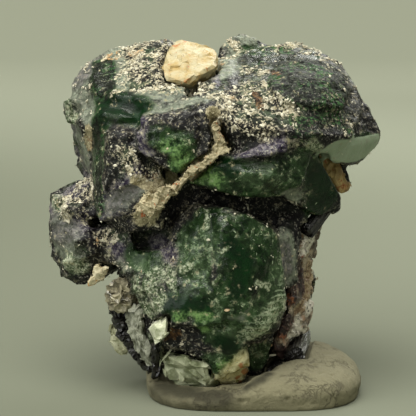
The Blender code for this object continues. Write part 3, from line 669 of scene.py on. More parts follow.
marks["granular"] *= 1 - 0.8 * smooth_step(marks["dark"], 0.05, 0.4)
for name in ("granular", "pale", "clear", "dark"):
    marks[name] *= 1 - smooth_step(marks["satin"], 0.0, 0.3)
marks["clear"] = np.maximum(marks["clear"], marks["deep"])
print("marks:", {name: int((values > 0).sum()) for name, values in marks.items()})

# %% Carve the fluorite's faces and keep its marks
LARGE_BLOCK, LARGE_RISE = 2.3, 0.08
SMALL_BLOCK, SMALL_RISE = 0.9, 0.05
WAVE_LENGTH, WAVE_RISE = 3.2, 0.16
CRUMB_RISE = 0.24

turn_left = tilt(math.radians(24), math.radians(12))
turn_right = tilt(math.radians(-18), math.radians(16))
on_left = spots[:, 0] < 0
large_steps = np.where(on_left, blocks(spots, LARGE_BLOCK, 1, turn_left),
                       0.4 * blocks(spots, LARGE_BLOCK, 2, turn_right))
small_steps = np.where(on_left, blocks(spots, SMALL_BLOCK, 3, turn_left),
                       blocks(spots, SMALL_BLOCK, 4, turn_right))
calm = np.maximum(marks["satin"], marks["deep"])
rough_share = np.clip(0.25 + marks["druse"] + marks["granular"] + 0.6 * marks["dark"], 0, 1)
push = LARGE_RISE * large_steps + SMALL_RISE * small_steps
push += CRUMB_RISE * fine_noise * rough_share * (1 - 0.8 * marks["clear"])
push += WAVE_RISE * clouds(spots, WAVE_LENGTH, 3, octaves=2) * (0.4 + marks["clear"])
push *= 1 - 0.7 * smooth_step(calm, 0.0, 0.3)
move_points(fluorite, spots + facing * push[:, None])
lace = clouds(spots, 1.2, 21, rough=0.6)
for name, values in marks.items():
    keep_mark(fluorite, name, values)
keep_mark(fluorite, "to_corner", to_corner)
keep_mark(fluorite, "lace", lace)
choose(fluorite)
bpy.ops.object.shade_smooth()
show(fluorite, "fluorite", "fluorite")
print("carved by", round(float(push.min()), 2), "to", round(float(push.max()), 2), "mm")

# %% [markdown]
# ## The fluorite: its finish
#
# Two surfaces are mixed: clear glass with a green body, and a crust of colour. Clear places let
# less than half of the light in, and the rest meets veils and inner green, as in a crystal full of
# cracks. The crust is dark violet along the corners and dark green in between, and the brushed
# marks frost it, pale it, or stain it with rust.

# %% Where each of the fluorite's looks shows
MARK_EDGES = {
    # mark: where it starts, where it's full, and how much grain and wide patches break its edge
    "clear": (0.10, 0.45, 0.5, 0.5),
    "glow": (0.05, 0.95, 0.6, 0.5),
    "pale": (0.15, 0.65, 0.9, 0.5),
    "frost": (0.15, 0.55, 0.8, 0.5),
    "lilac": (0.10, 0.60, 1.0, 0.5),
    "druse": (0.05, 0.40, 0.8, 0.5),
    "granular": (0.05, 0.35, 0.8, 0.5),
    "dark": (0.10, 0.50, 0.8, 0.5),
    "rust": (0.30, 0.60, 1.6, 0.5),
    "honey": (0.10, 0.60, 0.8, 0.5),
    "satin": (0.05, 0.20, 0.2, 0.1),
    "deep": (0.05, 0.55, 0.5, 0.5),
    "haze": (0.0, 1.0, 0.4, 0.3),
    "fan": (0.05, 0.50, 0.6, 0.5),
    "seam": (0.10, 0.30, 1.2, 0.2),
}


def fluorite_looks(f):
    """The noises, marks and shards that the parts of the finish share."""
    on = SimpleNamespace()
    on.patchy = f.spots(4.5, 3, 0.55, 0.4) - 0.5
    on.grain = f.spots(0.9, 5, 0.65) - 0.5
    on.fine = f.spots(0.32, 3, 0.6) - 0.5
    for name, (low, high, rough, wide) in MARK_EDGES.items():
        edge = f.mark(name) + on.patchy * wide + on.grain * rough
        setattr(on, name, f.step(edge, low, high))
    on.corner = 1.0 - f.step(f.mark("to_corner") + on.patchy * 2.2 + on.grain * 1.2, 0.1, 1.4)
    push = f.spots(1.4, 3, 0.5, out="Color")
    on.bent = f.node("ShaderNodeVectorMath", {"operation": "MULTIPLY_ADD"},
                     {0: push, 1: (0.7 * MM,) * 3, 2: f.place})
    on.shifted = f.node("ShaderNodeVectorMath", {"operation": "ADD"},
                        {0: f.place, 1: (0.37, 0.11, 0.59)})
    large, small = (f.cells(size, place=on.bent, out="Color") for size in (1.3, 0.55))
    on.shards = large * 0.5 + small * 0.5
    return on

# %% Inside the clear crystal, and the skin on it
def fluorite_body(f, on):
    """Green shards of many tones, milky or deep where they're marked so; the bright green bands are
    painted light.
    """
    body = on.shards * 0.7 + on.grain + on.patchy * 0.6
    body = f.tones(body, 0.1, 0.6, (13, 32, 13), (56, 82, 48))
    milky = f.tones(on.shards * 0.5 + on.grain * 0.5, 0.0, 0.6, (52, 72, 46), (98, 120, 86))
    body = f.blend(on.haze * 0.8, body, milky)
    body = f.blend(on.deep, body, f.blend(on.shards, (3, 24, 7), (6, 54, 16)))
    # Painted light: the bright green that stands for light shining through the crystal.
    lit = on.glow * 0.6 + on.shards * 0.5 + on.grain * 2.0 + on.fine * 1.8
    lit = f.tones(lit, 0.2, 1.2, (28, 60, 26), (124, 160, 96))
    return f.blend(on.glow * f.step(on.shards + on.grain, -0.2, 0.4), body, lit)


def fluorite_skin(f, on):
    """Dark violet and green, frosted, pale or granular where it's marked so; the dark mark is partly
    painted shade, and the smooth facet's pale green is painted light.
    """
    green = f.tones(on.shards + on.grain, 0.3, 0.7, (20, 26, 18), (68, 80, 60))
    violet_black = f.tones(on.grain, 0.0, 0.15, (20, 18, 21), (46, 42, 50))
    # Where marked dark, the violet-black is partly the skin's own colour and partly painted shade.
    skin = f.blend(on.corner.over(on.dark * 0.9), green, violet_black)
    violet = f.tones(on.grain + on.fine * 0.5, -0.1, 0.14, (50, 42, 64), (132, 126, 132))
    skin = f.blend(on.lilac * 0.8, skin, violet)
    frosted = f.tones(f.mark("lilac") + on.patchy, 0.0, 0.5, (152, 160, 142), (120, 117, 117))
    skin = f.blend(on.frost * 0.9, skin, f.tones(on.grain, -0.22, 0.18, (82, 87, 75), frosted))
    skin = f.blend(on.clear, skin, fluorite_body(f, on))
    crackle = on.shards * 0.5 + on.grain * 0.9 + on.fine * 2.0
    crackle = f.tones(crackle, 0.1, 0.55, (74, 92, 60), (206, 212, 184))
    skin = f.blend(on.pale * 0.85, skin, crackle)
    leafy = f.tones(on.patchy + on.grain * 0.5, -0.06, 0.08, (52, 58, 46), (46, 86, 42))
    sand = f.tones(f.spots(0.5, 3, 0.7), 0.46, 0.57, (5, 8, 5), leafy)
    skin = f.blend(on.granular, skin, sand)
    # Painted light: the smooth facet's pale green stands for light shining through it from behind.
    return f.blend(on.satin, skin, f.blend(f.spots(2.0, 2), (132, 150, 124), (170, 184, 160)))

# %% Veins, specks, pits and stains
def fluorite_details(f, on, skin):
    """Bright crumbs too small to model, a net of thin cream veins on the dark skin, and stains."""
    rough_skin = (1.0 - on.clear.over(on.deep)) * (1.0 - on.satin)
    rough_skin = rough_skin * (1.0 - on.frost * 0.5) * (1.0 - on.granular * 0.6)
    veins = f.spots(1.2, 3, 0.6, 0.8, place=on.shifted).near(0.5, 0.035)
    veins = veins * f.step(on.grain + on.patchy * 0.5, -0.04, 0.08)
    skin = f.blend(veins * rough_skin * 0.7, skin, (176, 168, 148))
    speck = f.spots(0.36, 2, 0.6) + on.druse * 0.06 + on.corner * 0.04
    speck = f.step(speck - on.clear * 0.22 - on.deep * 0.3, 0.61, 0.69)
    crumb = f.blend(on.druse, (152, 150, 140), (218, 208, 178))
    skin = f.blend(speck * (0.75 - on.granular * 0.1), skin, crumb)
    lacy = f.mark("lace") * 0.5 + on.grain * 0.5 + on.fine * 0.6
    skin = f.blend(on.druse * f.step(lacy, 0.05, 0.14), skin, (214, 204, 176))
    # Painted shade: near-black spots that stand for the shade in small pits of the rough skin.
    pits = f.step(f.spots(0.5, 3, 0.6, place=on.shifted), 0.54, 0.62)
    skin = f.blend(pits * rough_skin * 0.8, skin, (18, 16, 18))
    waxy = f.tones(on.shards * 0.6 + on.grain, 0.0, 0.45, (186, 172, 84), (255, 246, 196))
    skin = f.blend(on.honey * 0.92, skin, waxy)
    rusty = f.tones(on.grain, -0.1, 0.1, (48, 30, 22), (122, 86, 50))
    skin = f.blend(on.rust * 0.75, skin, f.blend(on.honey, rusty, (196, 104, 40)))
    sandy = f.tones(on.fine, -0.08, 0.1, (150, 140, 112), (198, 188, 154))
    return f.blend(on.seam, skin, sandy)


def fluorite_lines(f, on):
    """Thin bright cracks across the clear shards, and ridges that fan out."""
    scratches = f.streaks(0.8, 5.0, (0.5, 0.9, 0.2)).near(0.5, 0.035).over(
        f.streaks(0.7, 4.5, (1.9, 0.4, 1.1)).near(0.5, 0.032)).over(
        f.streaks(0.6, 3.5, (1.2, -0.8, 0.6)).near(0.5, 0.030))
    shown = f.step(on.grain + on.patchy * 0.5 + on.haze * 0.05, 0.04, 0.16)
    cracked = scratches * shown * (1.0 - on.deep)
    waves = {"Vector": on.bent, "Scale": 1 / (2.6 * MM), "Distortion": 7.0, "Detail": 3.0}
    ridges = f.node("ShaderNodeTexWave", {"bands_direction": "Z"}, waves, out="Fac")
    ridges = f.step(ridges + on.grain * 1.6, 0.62, 0.95)
    return (cracked * on.clear.over(on.pale) * 0.45).over(ridges * on.fan * 0.6)

# %% Relief and gloss
def fluorite_relief(f, on):
    """Shards and grain stand out, less so where the crystal is clear or satin."""
    large, small = (f.cells(size, "MANHATTAN", place=on.bent) for size in (1.3, 0.55))
    relief = (large + small * 0.5) * (0.35 + on.pale * 0.3 - on.satin * 0.35)
    relief = relief + on.grain * (0.3 + on.druse + on.granular - on.satin * 0.28)
    relief = relief + on.fine * (0.5 - on.satin * 0.2)
    return f.bump(relief * (1.0 - (on.clear * 0.5 + on.deep * 0.4)), 0.30, 0.8)


def fluorite_roughness(on):
    rough = 0.30 + on.druse * 0.35 + on.granular * 0.3 + on.frost * 0.12 + on.dark * 0.15
    rough = rough + on.satin * 0.1 - on.clear * 0.12 + on.deep * 0.3 + on.grain * 0.3
    return rough.clamped()

# %% Glass and crust together
FLUORITE_IOR = 1.434
GLASS_TINT = (0.86, 0.95, 0.82)
GREEN_LEFT_OVER = (0.16, 0.66, 0.22)
GREEN_DENSITY = 300.0


def fluorite_finish():
    f = Finish("fluorite_green_and_violet")
    on = fluorite_looks(f)
    lines = fluorite_lines(f, on)
    skin = fluorite_details(f, on, fluorite_skin(f, on))
    skin = f.blend(lines, skin, (176, 192, 160))
    bumps = fluorite_relief(f, on)
    crust = f.principled(Base_Color=skin, Roughness=fluorite_roughness(on), Normal=bumps,
                         IOR=FLUORITE_IOR, Specular_IOR_Level=0.25)
    glass = f.principled(Base_Color=GLASS_TINT, Roughness=0.12, Transmission_Weight=1.0,
                         IOR=FLUORITE_IOR, Normal=bumps)
    solid_share = 1.0 - on.clear * 0.4 + lines + on.pale * 0.2 + on.frost * 0.3
    solid_share = (solid_share + on.glow * 0.3 + on.haze * 0.2).clamped()
    mixed = f.node("ShaderNodeMixShader", {}, {0: solid_share, 1: glass, 2: crust})
    green_inside = {"Color": GREEN_LEFT_OVER, "Density": GREEN_DENSITY}
    volume = f.node("ShaderNodeVolumeAbsorption", {}, green_inside)
    return f.done(mixed, volume)


fluorite.data.materials.append(fluorite_finish())

# %% [markdown]
# ## Crumbs on the crystals
#
# The tops are sprinkled with cream crumbs of feldspar, which lie in lace-like clusters with dark
# gaps. Crumbs of this size are modelled once as a rough twenty-sided lump. Every copy gets its own
# size, turn and dents, and lies flat on the face that carries it. All copies together make one
# mesh. Smaller grey specks follow the corners, and bright slivers show where the clear crystal is
# cracked.

# %% A rough lump and how it's scattered
choose_nothing()
bpy.ops.mesh.primitive_ico_sphere_add(subdivisions=1, radius=1.0)
lump = bpy.context.object
LUMP_POINTS = np.array([tuple(vert.co) for vert in lump.data.vertices])
LUMP_FACES = np.array([tuple(face.vertices) for face in lump.data.polygons])
bpy.data.objects.remove(lump, do_unlink=True)
print("rough lump:", len(LUMP_POINTS), "points and", len(LUMP_FACES), "faces")


def lying_turns(along, up):
    """Rotations that lay a piece's length along one direction and its height along another."""
    side = np.cross(up, along)
    side /= np.linalg.norm(side, axis=1)[:, None]
    along = np.cross(side, up)
    return np.stack([along, side, up], axis=2)


def lumps(name, places, sizes, turns, draw, dents):
    """One mesh of many rough lumps at these places, each with its own half length, width and height."""
    count = len(places)
    dented = LUMP_POINTS[None] * (1 + draw.uniform(-dents, dents, size=(count, len(LUMP_POINTS), 1)))
    turned = np.einsum("nij,npj->npi", turns, dented * sizes[:, None, :])
    all_points = (places[:, None] + turned).reshape(-1, 3) * MM
    all_faces = LUMP_FACES[None] + (np.arange(count) * len(LUMP_POINTS))[:, None, None]
    mesh = bpy.data.meshes.new(name)
    mesh.from_pydata(all_points.tolist(), [], all_faces.reshape(-1, 3).tolist())
    piece = bpy.data.objects.new(name, mesh)
    scene.collection.objects.link(piece)
    return piece


def picked(weights, count, draw):
    """The indices of that many points, more of them where the weight is high."""
    weights = np.clip(weights, 0, None)
    return draw.choice(len(weights), size=count, p=weights / weights.sum())

# %% Cream crumbs and grey specks
CREAM_CRUMBS = 7600
GREY_SPECKS = 2600


def flat_sizes(length, width, height, draw):
    """Half sizes of flat bits, whose widths and heights are drawn as shares of their lengths."""
    count = len(length)
    return length[:, None] * np.column_stack([
        np.ones(count), draw.uniform(*width, count), draw.uniform(*height, count)])


def flat_crumbs(name, places, up, shortest, longest, draw):
    """Flat, ragged crumbs that lie on a surface, each turned its own way."""
    count = len(places)
    length = shortest + (longest - shortest) * draw.uniform(0, 1, count) ** 2
    sizes = flat_sizes(length, (0.3, 0.8), (0.2, 0.55), draw)
    tilted = up + draw.normal(scale=0.25, size=(count, 3))
    turns = lying_turns(draw.normal(size=(count, 3)), tilted)
    return lumps(name, places, sizes, turns, draw, dents=0.4)


draw = np.random.default_rng(7)
spots, facing = shape_of(fluorite)
bare = 1 - smooth_step(np.maximum(calm, 0.5 * marks["granular"]), 0.05, 0.4)
thick = smooth_step(marks["druse"] + 0.6 * lace, 0.10, 0.45) * smooth_step(lace, 0.02, 0.16)
thick *= 0.15 + 0.85 * bare
thick *= 1 - 0.9 * np.clip(1.5 * marks["clear"] - marks["druse"], 0, 1)
chosen = picked(thick, CREAM_CRUMBS, draw)
slide = draw.uniform(-0.17, 0.17, size=(len(chosen), 3))
places = spots[chosen] + facing[chosen] * 0.03 + slide
cream_crumbs = flat_crumbs("cream_crumbs", places, facing[chosen], 0.07, 0.30, draw)
show(cream_crumbs, "fluorite", "feldspar_cream")

sparse = smooth_step(-to_corner, -2.2, -0.4) * (1 - np.clip(marks["clear"], 0, 1))
sparse *= facing[:, 2] > -0.3
sparse = (sparse * smooth_step(lace, -0.1, 0.3) + 0.4 * thick) * (0.1 + 0.9 * bare)
chosen = picked(sparse, GREY_SPECKS, draw)
places = spots[chosen] + facing[chosen] * 0.02
grey_specks = flat_crumbs("grey_specks", places, facing[chosen], 0.04, 0.14, draw)
show(grey_specks, "fluorite", "feldspar_grey")

# %% Bright slivers, where cracks in the clear crystal catch the light
BRIGHT_SLIVERS = 560
SLIVERS_BELOW = 32  # in millimetres: higher up, the clear crystal isn't cracked

cracked = np.clip(marks["clear"], 0, 1) * smooth_step(wide_noise + 0.6 * fine_noise, 0.0, 0.4)
cracked *= spots[:, 2] < SLIVERS_BELOW
cracked += 1.5 * np.clip(marks["pale"], 0, 1) + 1.5 * np.clip(marks["fan"], 0, 1)
chosen = picked(cracked, BRIGHT_SLIVERS, draw)
length = 0.06 + 0.22 * draw.uniform(0, 1, len(chosen)) ** 2
width = length * draw.uniform(0.08, 0.3, len(chosen))
sizes = np.column_stack([length, width, np.full(len(chosen), 0.03)])
turns = lying_turns(draw.normal(size=(len(chosen), 3)), facing[chosen])
places = spots[chosen] + facing[chosen] * 0.01
bright_slivers = lumps("bright_slivers", places, sizes, turns, draw, dents=0.35)
show(bright_slivers, "fluorite", "fluorite")

# %% The finish of small crumbs
def crumb_finish(piece, name, light, deep, stain):
    f = Finish(name)
    shade = f.step(f.spots(0.6, 4, 0.6), 0.35, 0.65)
    tone = f.blend(shade, deep, light)
    tone = f.blend(f.step(f.spots(5.0, 3, 0.6), 0.58, 0.72) * 0.7, tone, stain)
    rough = (0.55 + f.spots(0.5, 2) * 0.3).clamped()
    bumps = f.bump(f.spots(0.2, 3), 0.08, 0.6)
    piece.data.materials.append(f.opaque(tone, rough, bumps))


crumb_finish(cream_crumbs, "cream_crumb", (238, 233, 212), (178, 170, 148), (200, 150, 84))
crumb_finish(bright_slivers, "bright_sliver", (186, 196, 168), (112, 130, 98), (150, 162, 126))
crumb_finish(grey_specks, "grey_speck", (172, 170, 158), (96, 92, 92), (122, 112, 120))

# %% [markdown]
# ## Feldspar and albite
#
# The pale minerals are broken, not grown in the open, so their faces are flat cleavages with rough
# edges. Each is a copy of its solid on a finer grid, pushed about by small blocks and by noise.
# Most are a hair larger than the solid, so that they meet the fluorite they sit in. Decimate then
# leaves so few faces that each one is flat and angular. Thin plates lie on the most broken ones,
# and loose grains lie along the seam.

# %% Pale minerals
BREAK_WAVES = 1.5
BREAK_BLOCKS = 0.8


def broken(node, name, grid, grow, wave, faces, seed):
    """A copy of a solid with its surface broken into flat, angular faces."""
    piece = take_solid(node, name)
    redraw(piece, grid)
    points, out = shape_of(piece)
    turn = tilt(0.7 * seed, 0.5 + 0.3 * seed)
    push = grow + wave * clouds(points, BREAK_WAVES, seed, octaves=4, rough=0.55)
    push += 0.3 * wave * blocks(points, BREAK_BLOCKS, seed, turn)
    move_points(piece, points + out * push[:, None])
    finish_modifier(piece, "DECIMATE", ratio=min(1.0, faces / triangles(piece)))
    return piece


PALE_MINERALS = {
    # node: grid, growth, waves, flat faces
    "feldspar_crystal": (0.16, 0.18, 0.26, 700),
    "feldspar_slab": (0.15, 0.16, 0.24, 900),
    "feldspar_low_left": (0.14, 0.22, 0.40, 500),
    "feldspar_cleavages": (0.11, 0.20, 0.30, 1200),
    "feldspar_foot": (0.17, 0.34, 0.62, 190),
    "feldspar_seam": (0.13, -0.10, 0.70, 3600),
    "albite_blades": (0.12, 0.24, 0.34, 1500),
    "albite_fin": (0.11, 0.24, 0.36, 80),
}
CREAM_NODES = ("feldspar_crystal", "feldspar_slab", "feldspar_low_left", "feldspar_cleavages")


def show_pale(piece, node):
    show(piece, node, "feldspar_cream" if node in CREAM_NODES else "feldspar_grey")


pale_pieces = {}
for seed, (node, looks) in enumerate(PALE_MINERALS.items()):
    piece = broken(node, node + "_rock", *looks, seed + 1)
    show_pale(piece, node)
    pale_pieces[node] = piece

# %% Thin plates on the pale minerals
def flakes(node, count, shortest, longest, heading, seed):
    """Thin angular plates that lie all over a pale mineral, most of them drawn out the same way."""
    draw = np.random.default_rng(seed)
    points, out = shape_of(pale_pieces[node])
    chosen = draw.choice(len(points), count)
    length = draw.uniform(shortest, longest, count)
    sizes = flat_sizes(length, (0.4, 0.8), (0.06, 0.15), draw)
    along = np.array(heading) + draw.normal(scale=0.45, size=(count, 3))
    up = out[chosen] + draw.normal(scale=0.2, size=(count, 3))
    places = points[chosen] - 0.04 * out[chosen]
    piece = lumps(node + "_flakes", places, sizes, lying_turns(along, up), draw, dents=0.35)
    show_pale(piece, node)
    return piece


FLAKES = {
    # node: how many, half the shortest and the longest, and which way they're drawn out
    "feldspar_foot": (64, 0.5, 1.2, (1, 0, -0.3)),
    "albite_fin": (10, 0.4, 0.9, (0.25, 0, 1)),
    "albite_blades": (130, 0.3, 1.0, (0.3, 0, 1)),
    "feldspar_low_left": (70, 0.2, 0.6, (0.2, 0, 1)),
    "feldspar_cleavages": (160, 0.12, 0.4, (1, 0, 0.2)),
    "feldspar_slab": (110, 0.15, 0.6, (0.5, 0, -0.9)),
}
flake_pieces = {
    node: flakes(node, *looks, seed + 60) for seed, (node, looks) in enumerate(FLAKES.items())
}

# %% Grains of the seam
SEAM_GRAINS = 2600  # on the fluorite beside the seam, and as many on the seam itself

draw = np.random.default_rng(5)
seam_points, seam_facing = shape_of(pale_pieces["feldspar_seam"])
on_skin = picked(smooth_step(marks["seam"] + 0.2 * lace, 0.05, 0.35), SEAM_GRAINS, draw)
on_seam = draw.choice(len(seam_points), SEAM_GRAINS)
places = np.vstack([spots[on_skin], seam_points[on_seam]])
up = np.vstack([facing[on_skin], seam_facing[on_seam]])
seam_grains = flat_crumbs("seam_grains", places + up * 0.03, up, 0.05, 0.20, draw)
show(seam_grains, "feldspar_seam", "feldspar_grey")

# %% The finish of the pale minerals
def pale_finish(name, light, middle, stain, stained, rough):
    """Milky mineral with a few stains, and cleavage lines that glitter."""
    f = Finish(name)
    tone = f.tones(f.spots(1.6, 5, 0.6), 0.32, 0.68, middle, light)
    rust = f.step(f.spots(2.2, 4, 0.65, 0.8), stained, stained + 0.09)
    dots = f.step(f.spots(0.7, 2, 0.5), stained + 0.05, stained + 0.10)
    tone = f.blend(rust.over(dots) * 0.85, tone, stain)
    grey = f.step(f.spots(0.5, 4, 0.65), 0.58, 0.70)
    tone = f.blend(grey * 0.35, tone, (92, 84, 76))
    lines = f.cells(0.7, "CHEBYCHEV")
    bumps = f.bump(lines * 0.5 + f.spots(0.3, 4, 0.6), 0.16, 0.7)
    gloss = (rough + (f.spots(0.8, 3) - 0.5) * 0.5).clamped()
    return f.opaque(tone, gloss, bumps)


PALE_LOOKS = {
    # node: light, middle, stain, where stains start, roughness
    "feldspar_crystal": ((198, 188, 153), (184, 158, 102), (180, 110, 48), 0.62, 0.42),
    "feldspar_slab": ((196, 170, 114), (146, 120, 74), (150, 78, 30), 0.57, 0.55),
    "feldspar_low_left": ((214, 214, 184), (150, 150, 112), (120, 112, 64), 0.60, 0.50),
    "feldspar_cleavages": ((232, 222, 190), (196, 184, 150), (206, 146, 60), 0.60, 0.40),
    "feldspar_foot": ((200, 204, 174), (126, 134, 100), (112, 106, 66), 0.64, 0.45),
    "feldspar_seam": ((200, 188, 154), (152, 142, 112), (186, 92, 34), 0.58, 0.70),
    "albite_blades": ((176, 178, 160), (112, 114, 100), (80, 72, 56), 0.62, 0.40),
    "albite_fin": ((242, 243, 220), (186, 192, 156), (140, 134, 90), 0.62, 0.35),
}
for node, looks in PALE_LOOKS.items():
    finish = pale_finish(node, *looks)
    for piece in (pale_pieces[node], flake_pieces.get(node)):
        if piece:
            piece.data.materials.append(finish)
crumb_finish(seam_grains, "seam_grain", (200, 190, 156), (146, 136, 106), (176, 104, 50))

# %% [markdown]
# ## Schorl
#
# Schorl is black tourmaline: prisms with a rounded three-sided section, ribbed along their length
# and broken off across it. Three of them are cylinders whose length is subdivided, so that their
# ribs can waver and their ends can be rough. The two at the lower left have lost their ribs, so
# they're broken like the pale minerals instead.

# %% Schorl prisms
SCHORL = {
    # node: (start, end, radius)
    "schorl_right_foot": ((11.7, -6.4, 5.0), (13.3, 3.4, 6.0), 1.30),
    "schorl_front_foot": ((8.9, -7.8, 2.9), (10.0, -1.0, 2.5), 1.15),
    "schorl_right_neck": ((13.2, -5.2, 21.8), (16.4, -1.8, 25.4), 1.0),
}
SCHORL_SIDES = 96
SCHORL_CUTS = 40
SCHORL_END_CUTS = 8
CORNER_HEIGHT, RIB_HEIGHT, FINE_RIB_HEIGHT = 0.11, 0.12, 0.05  # as shares of the radius
BITE_SIZE, BITE_DEPTH = 1.2, 0.20
SCHORL_IOR = 1.64


def schorl(node, start, end, radius, seed):
    """A ribbed prism between two points, with broken ends."""
    start, end = Vector(start), Vector(end)
    axis = end - start
    length = axis.length
    choose_nothing()
    bpy.ops.mesh.primitive_cylinder_add(vertices=SCHORL_SIDES, radius=radius * MM, depth=length * MM,
                                        end_fill_type="TRIFAN")
    prism = bpy.context.object
    prism.name = node + "_prism"
    bpy.ops.object.mode_set(mode="EDIT")

    def runs_along(edge):
        return abs(edge.verts[0].co.z - edge.verts[1].co.z) > 0.9 * length * MM

    def meets_axis(edge):
        return min(math.hypot(vert.co.x, vert.co.y) for vert in edge.verts) < 0.1 * radius * MM

    choose_edges(prism, runs_along)
    bpy.ops.mesh.subdivide(number_cuts=SCHORL_CUTS)
    choose_edges(prism, meets_axis)
    bpy.ops.mesh.subdivide(number_cuts=SCHORL_END_CUTS)
    choose_nothing()
    points = shape_of(prism)[0]
    angle = np.arctan2(points[:, 1], points[:, 0])
    away = np.hypot(points[:, 0], points[:, 1]) / radius
    along = points[:, 2] / length
    ribs = round_noise(angle, 6, 0.25 * points[:, 2] + 9 * seed)
    fine_ribs = round_noise(angle, 17, 0.15 * points[:, 2] + 5 * seed)
    section = 1 + CORNER_HEIGHT * np.cos(3 * angle) + RIB_HEIGHT * ribs + FINE_RIB_HEIGHT * fine_ribs
    bites = clouds(points, BITE_SIZE, seed + 3, octaves=4, rough=0.6)
    section -= BITE_DEPTH * smooth_step(bites, 0.15, 0.5)
    points[:, :2] *= section[:, None]
    at_end = smooth_step(np.abs(along), 0.47, 0.5)
    chip = clouds(np.column_stack([points[:, :2], np.sign(along) * 4]), 0.8, seed + 7, octaves=4)
    points[:, 2] -= np.sign(along) * at_end * (0.30 + 0.5 * chip + 0.25 * away ** 2) * radius
    turn = np.array(axis.to_track_quat("Z", "Y").to_matrix())
    middle = np.array((start + end) / 2)
    move_points(prism, points @ turn.T + middle)
    return prism


def schorl_finish():
    f = Finish("schorl_black")
    dust = f.step(f.spots(0.9, 5, 0.65), 0.56, 0.70)
    tone = f.blend(f.spots(1.5, 3), (10, 9, 10), (26, 23, 24))
    tone = f.blend(dust * 0.35, tone, (88, 76, 66))
    gloss = (0.16 + dust * 0.4 + f.spots(0.6, 3) * 0.18).clamped()
    bumps = f.bump(f.spots(0.25, 4, 0.6), 0.10, 0.5)
    return f.opaque(tone, gloss, bumps, IOR=SCHORL_IOR)


black = schorl_finish()
for seed, (node, (start, end, radius)) in enumerate(SCHORL.items()):
    prism = schorl(node, start, end, radius, seed + 1)
    prism.data.materials.append(black)
    show(prism, node, "schorl")

# %% Broken schorl at the lower left
for node, *looks in (
    # node: grid, growth, waves, flat faces, seed
    ("schorl_lower_left", 0.13, 0.34, 0.55, 2600, 9),
    ("schorl_splinter", 0.09, 0.0, 0.45, 420, 12),
):
    piece = broken(node, node + "_broken", *looks)
    piece.data.materials.append(black)
    show(piece, node, "schorl")

# %% [markdown]
# ## The mica rosette
#
# The mica is a small rosette of thin, ragged leaves that fan out from its middle. One leaf is a
# filled circle with a little thickness; each copy gets its own size, tilt, curl and torn edge.

# %% Mica leaves
MICA_MIDDLE = np.array((-11.8, -7.2, 13.9))
MICA_FACING = Vector((-0.30, -0.90, 0.32)).normalized()
MICA_REACH = 2.85
MICA_LEAVES = 46
MICA_IOR = 1.58
LEAF_SIDES = 22
LEAF_THICKNESS = 0.045  # as a share of its radius
MIDDLE_LEAN, MORE_OUTSIDE = 18, 58  # in degrees: the leaves outside lie back further
GOLDEN_ANGLE = 2.39996  # each leaf turns this much further, so no two lie above each other

choose_nothing()
bpy.ops.mesh.primitive_circle_add(vertices=LEAF_SIDES, radius=1.0, fill_type="TRIFAN")
leaf = bpy.context.object
bpy.ops.object.mode_set(mode="EDIT")
bpy.ops.mesh.select_all(action="SELECT")
bpy.ops.mesh.subdivide(number_cuts=1)
choose_nothing()
finish_modifier(leaf, "SOLIDIFY", thickness=LEAF_THICKNESS, offset=0)
leaf_points = np.array([tuple(vert.co) for vert in leaf.data.vertices])
leaf_faces = [tuple(face.vertices) for face in leaf.data.polygons]
bpy.data.objects.remove(leaf, do_unlink=True)

draw = np.random.default_rng(11)
all_points, all_faces = [], []
facing_turn = np.array(MICA_FACING.to_track_quat("Z", "Y").to_matrix())
for index in range(MICA_LEAVES):
    share = (index + 0.5) / MICA_LEAVES
    ring = math.sqrt(share)
    angle = index * GOLDEN_ANGLE
    size = MICA_REACH * (0.62 - 0.28 * ring) * draw.uniform(0.8, 1.2)
    points = leaf_points.copy()
    around = np.arctan2(points[:, 1], points[:, 0])
    torn = round_noise(around, 2.6, np.full(len(around), 3.7 * index))
    points[:, :2] *= (1 + 0.42 * torn)[:, None] * size
    curl = draw.uniform(-0.12, 0.18)
    points[:, 2] = points[:, 2] * 1.6 + curl * (points[:, 0] ** 2 + points[:, 1] ** 2)
    lean = math.radians(MIDDLE_LEAN + MORE_OUTSIDE * ring * draw.uniform(0.6, 1.1))
    turn = Matrix.Rotation(angle, 3, "Z") @ Matrix.Rotation(lean, 3, "Y")
    place = np.array((math.cos(angle), math.sin(angle), 0)) * MICA_REACH * 0.62 * ring
    place[2] = 0.75 * (1 - ring ** 2) - 0.15 + draw.uniform(-0.2, 0.2)
    points = points @ np.array(turn).T + place
    all_faces += [tuple(corner + len(leaf_points) * index for corner in face) for face in leaf_faces]
    all_points.append(points @ facing_turn.T + MICA_MIDDLE)
mesh = bpy.data.meshes.new("mica_rosette")
mesh.from_pydata((np.vstack(all_points) * MM).tolist(), [], all_faces)
mica = bpy.data.objects.new("mica_rosette", mesh)
scene.collection.objects.link(mica)
show(mica, "mica_book", "mica")

# %% The finish of mica
def mica_finish():
    f = Finish("mica_pearly")
    tone = f.tones(f.spots(1.1, 4, 0.6), 0.35, 0.65, (88, 82, 66), (186, 178, 150))
    tone = f.blend(f.step(f.spots(2.0, 3), 0.6, 0.7) * 0.7, tone, (120, 98, 62))
    bumps = f.bump(f.spots(0.25, 4, 0.6), 0.06, 0.6)
    gloss = (0.22 + f.spots(0.7, 3) * 0.25).clamped()
    return f.opaque(tone, gloss, bumps, IOR=MICA_IOR, Coat_Weight=0.5, Coat_Roughness=0.2)


mica.data.materials.append(mica_finish())

# %% [markdown]
# ## The rusty rock
#
# The rock that joins the crystals is a coarse mix: white and grey feldspar above, dark brown and
# rust in the middle, tan and black at the foot. It's pushed about in the same way as the pale
# minerals, but keeps its rounded grains.

# %% Rock
ROCK_GRID = 0.24
ROCK_GROWTH = 0.30
KNOB_SIZE, KNOB_RISE = 2.4, 0.45
CHIP_SIZE, CHIP_RISE = 0.9, 0.12

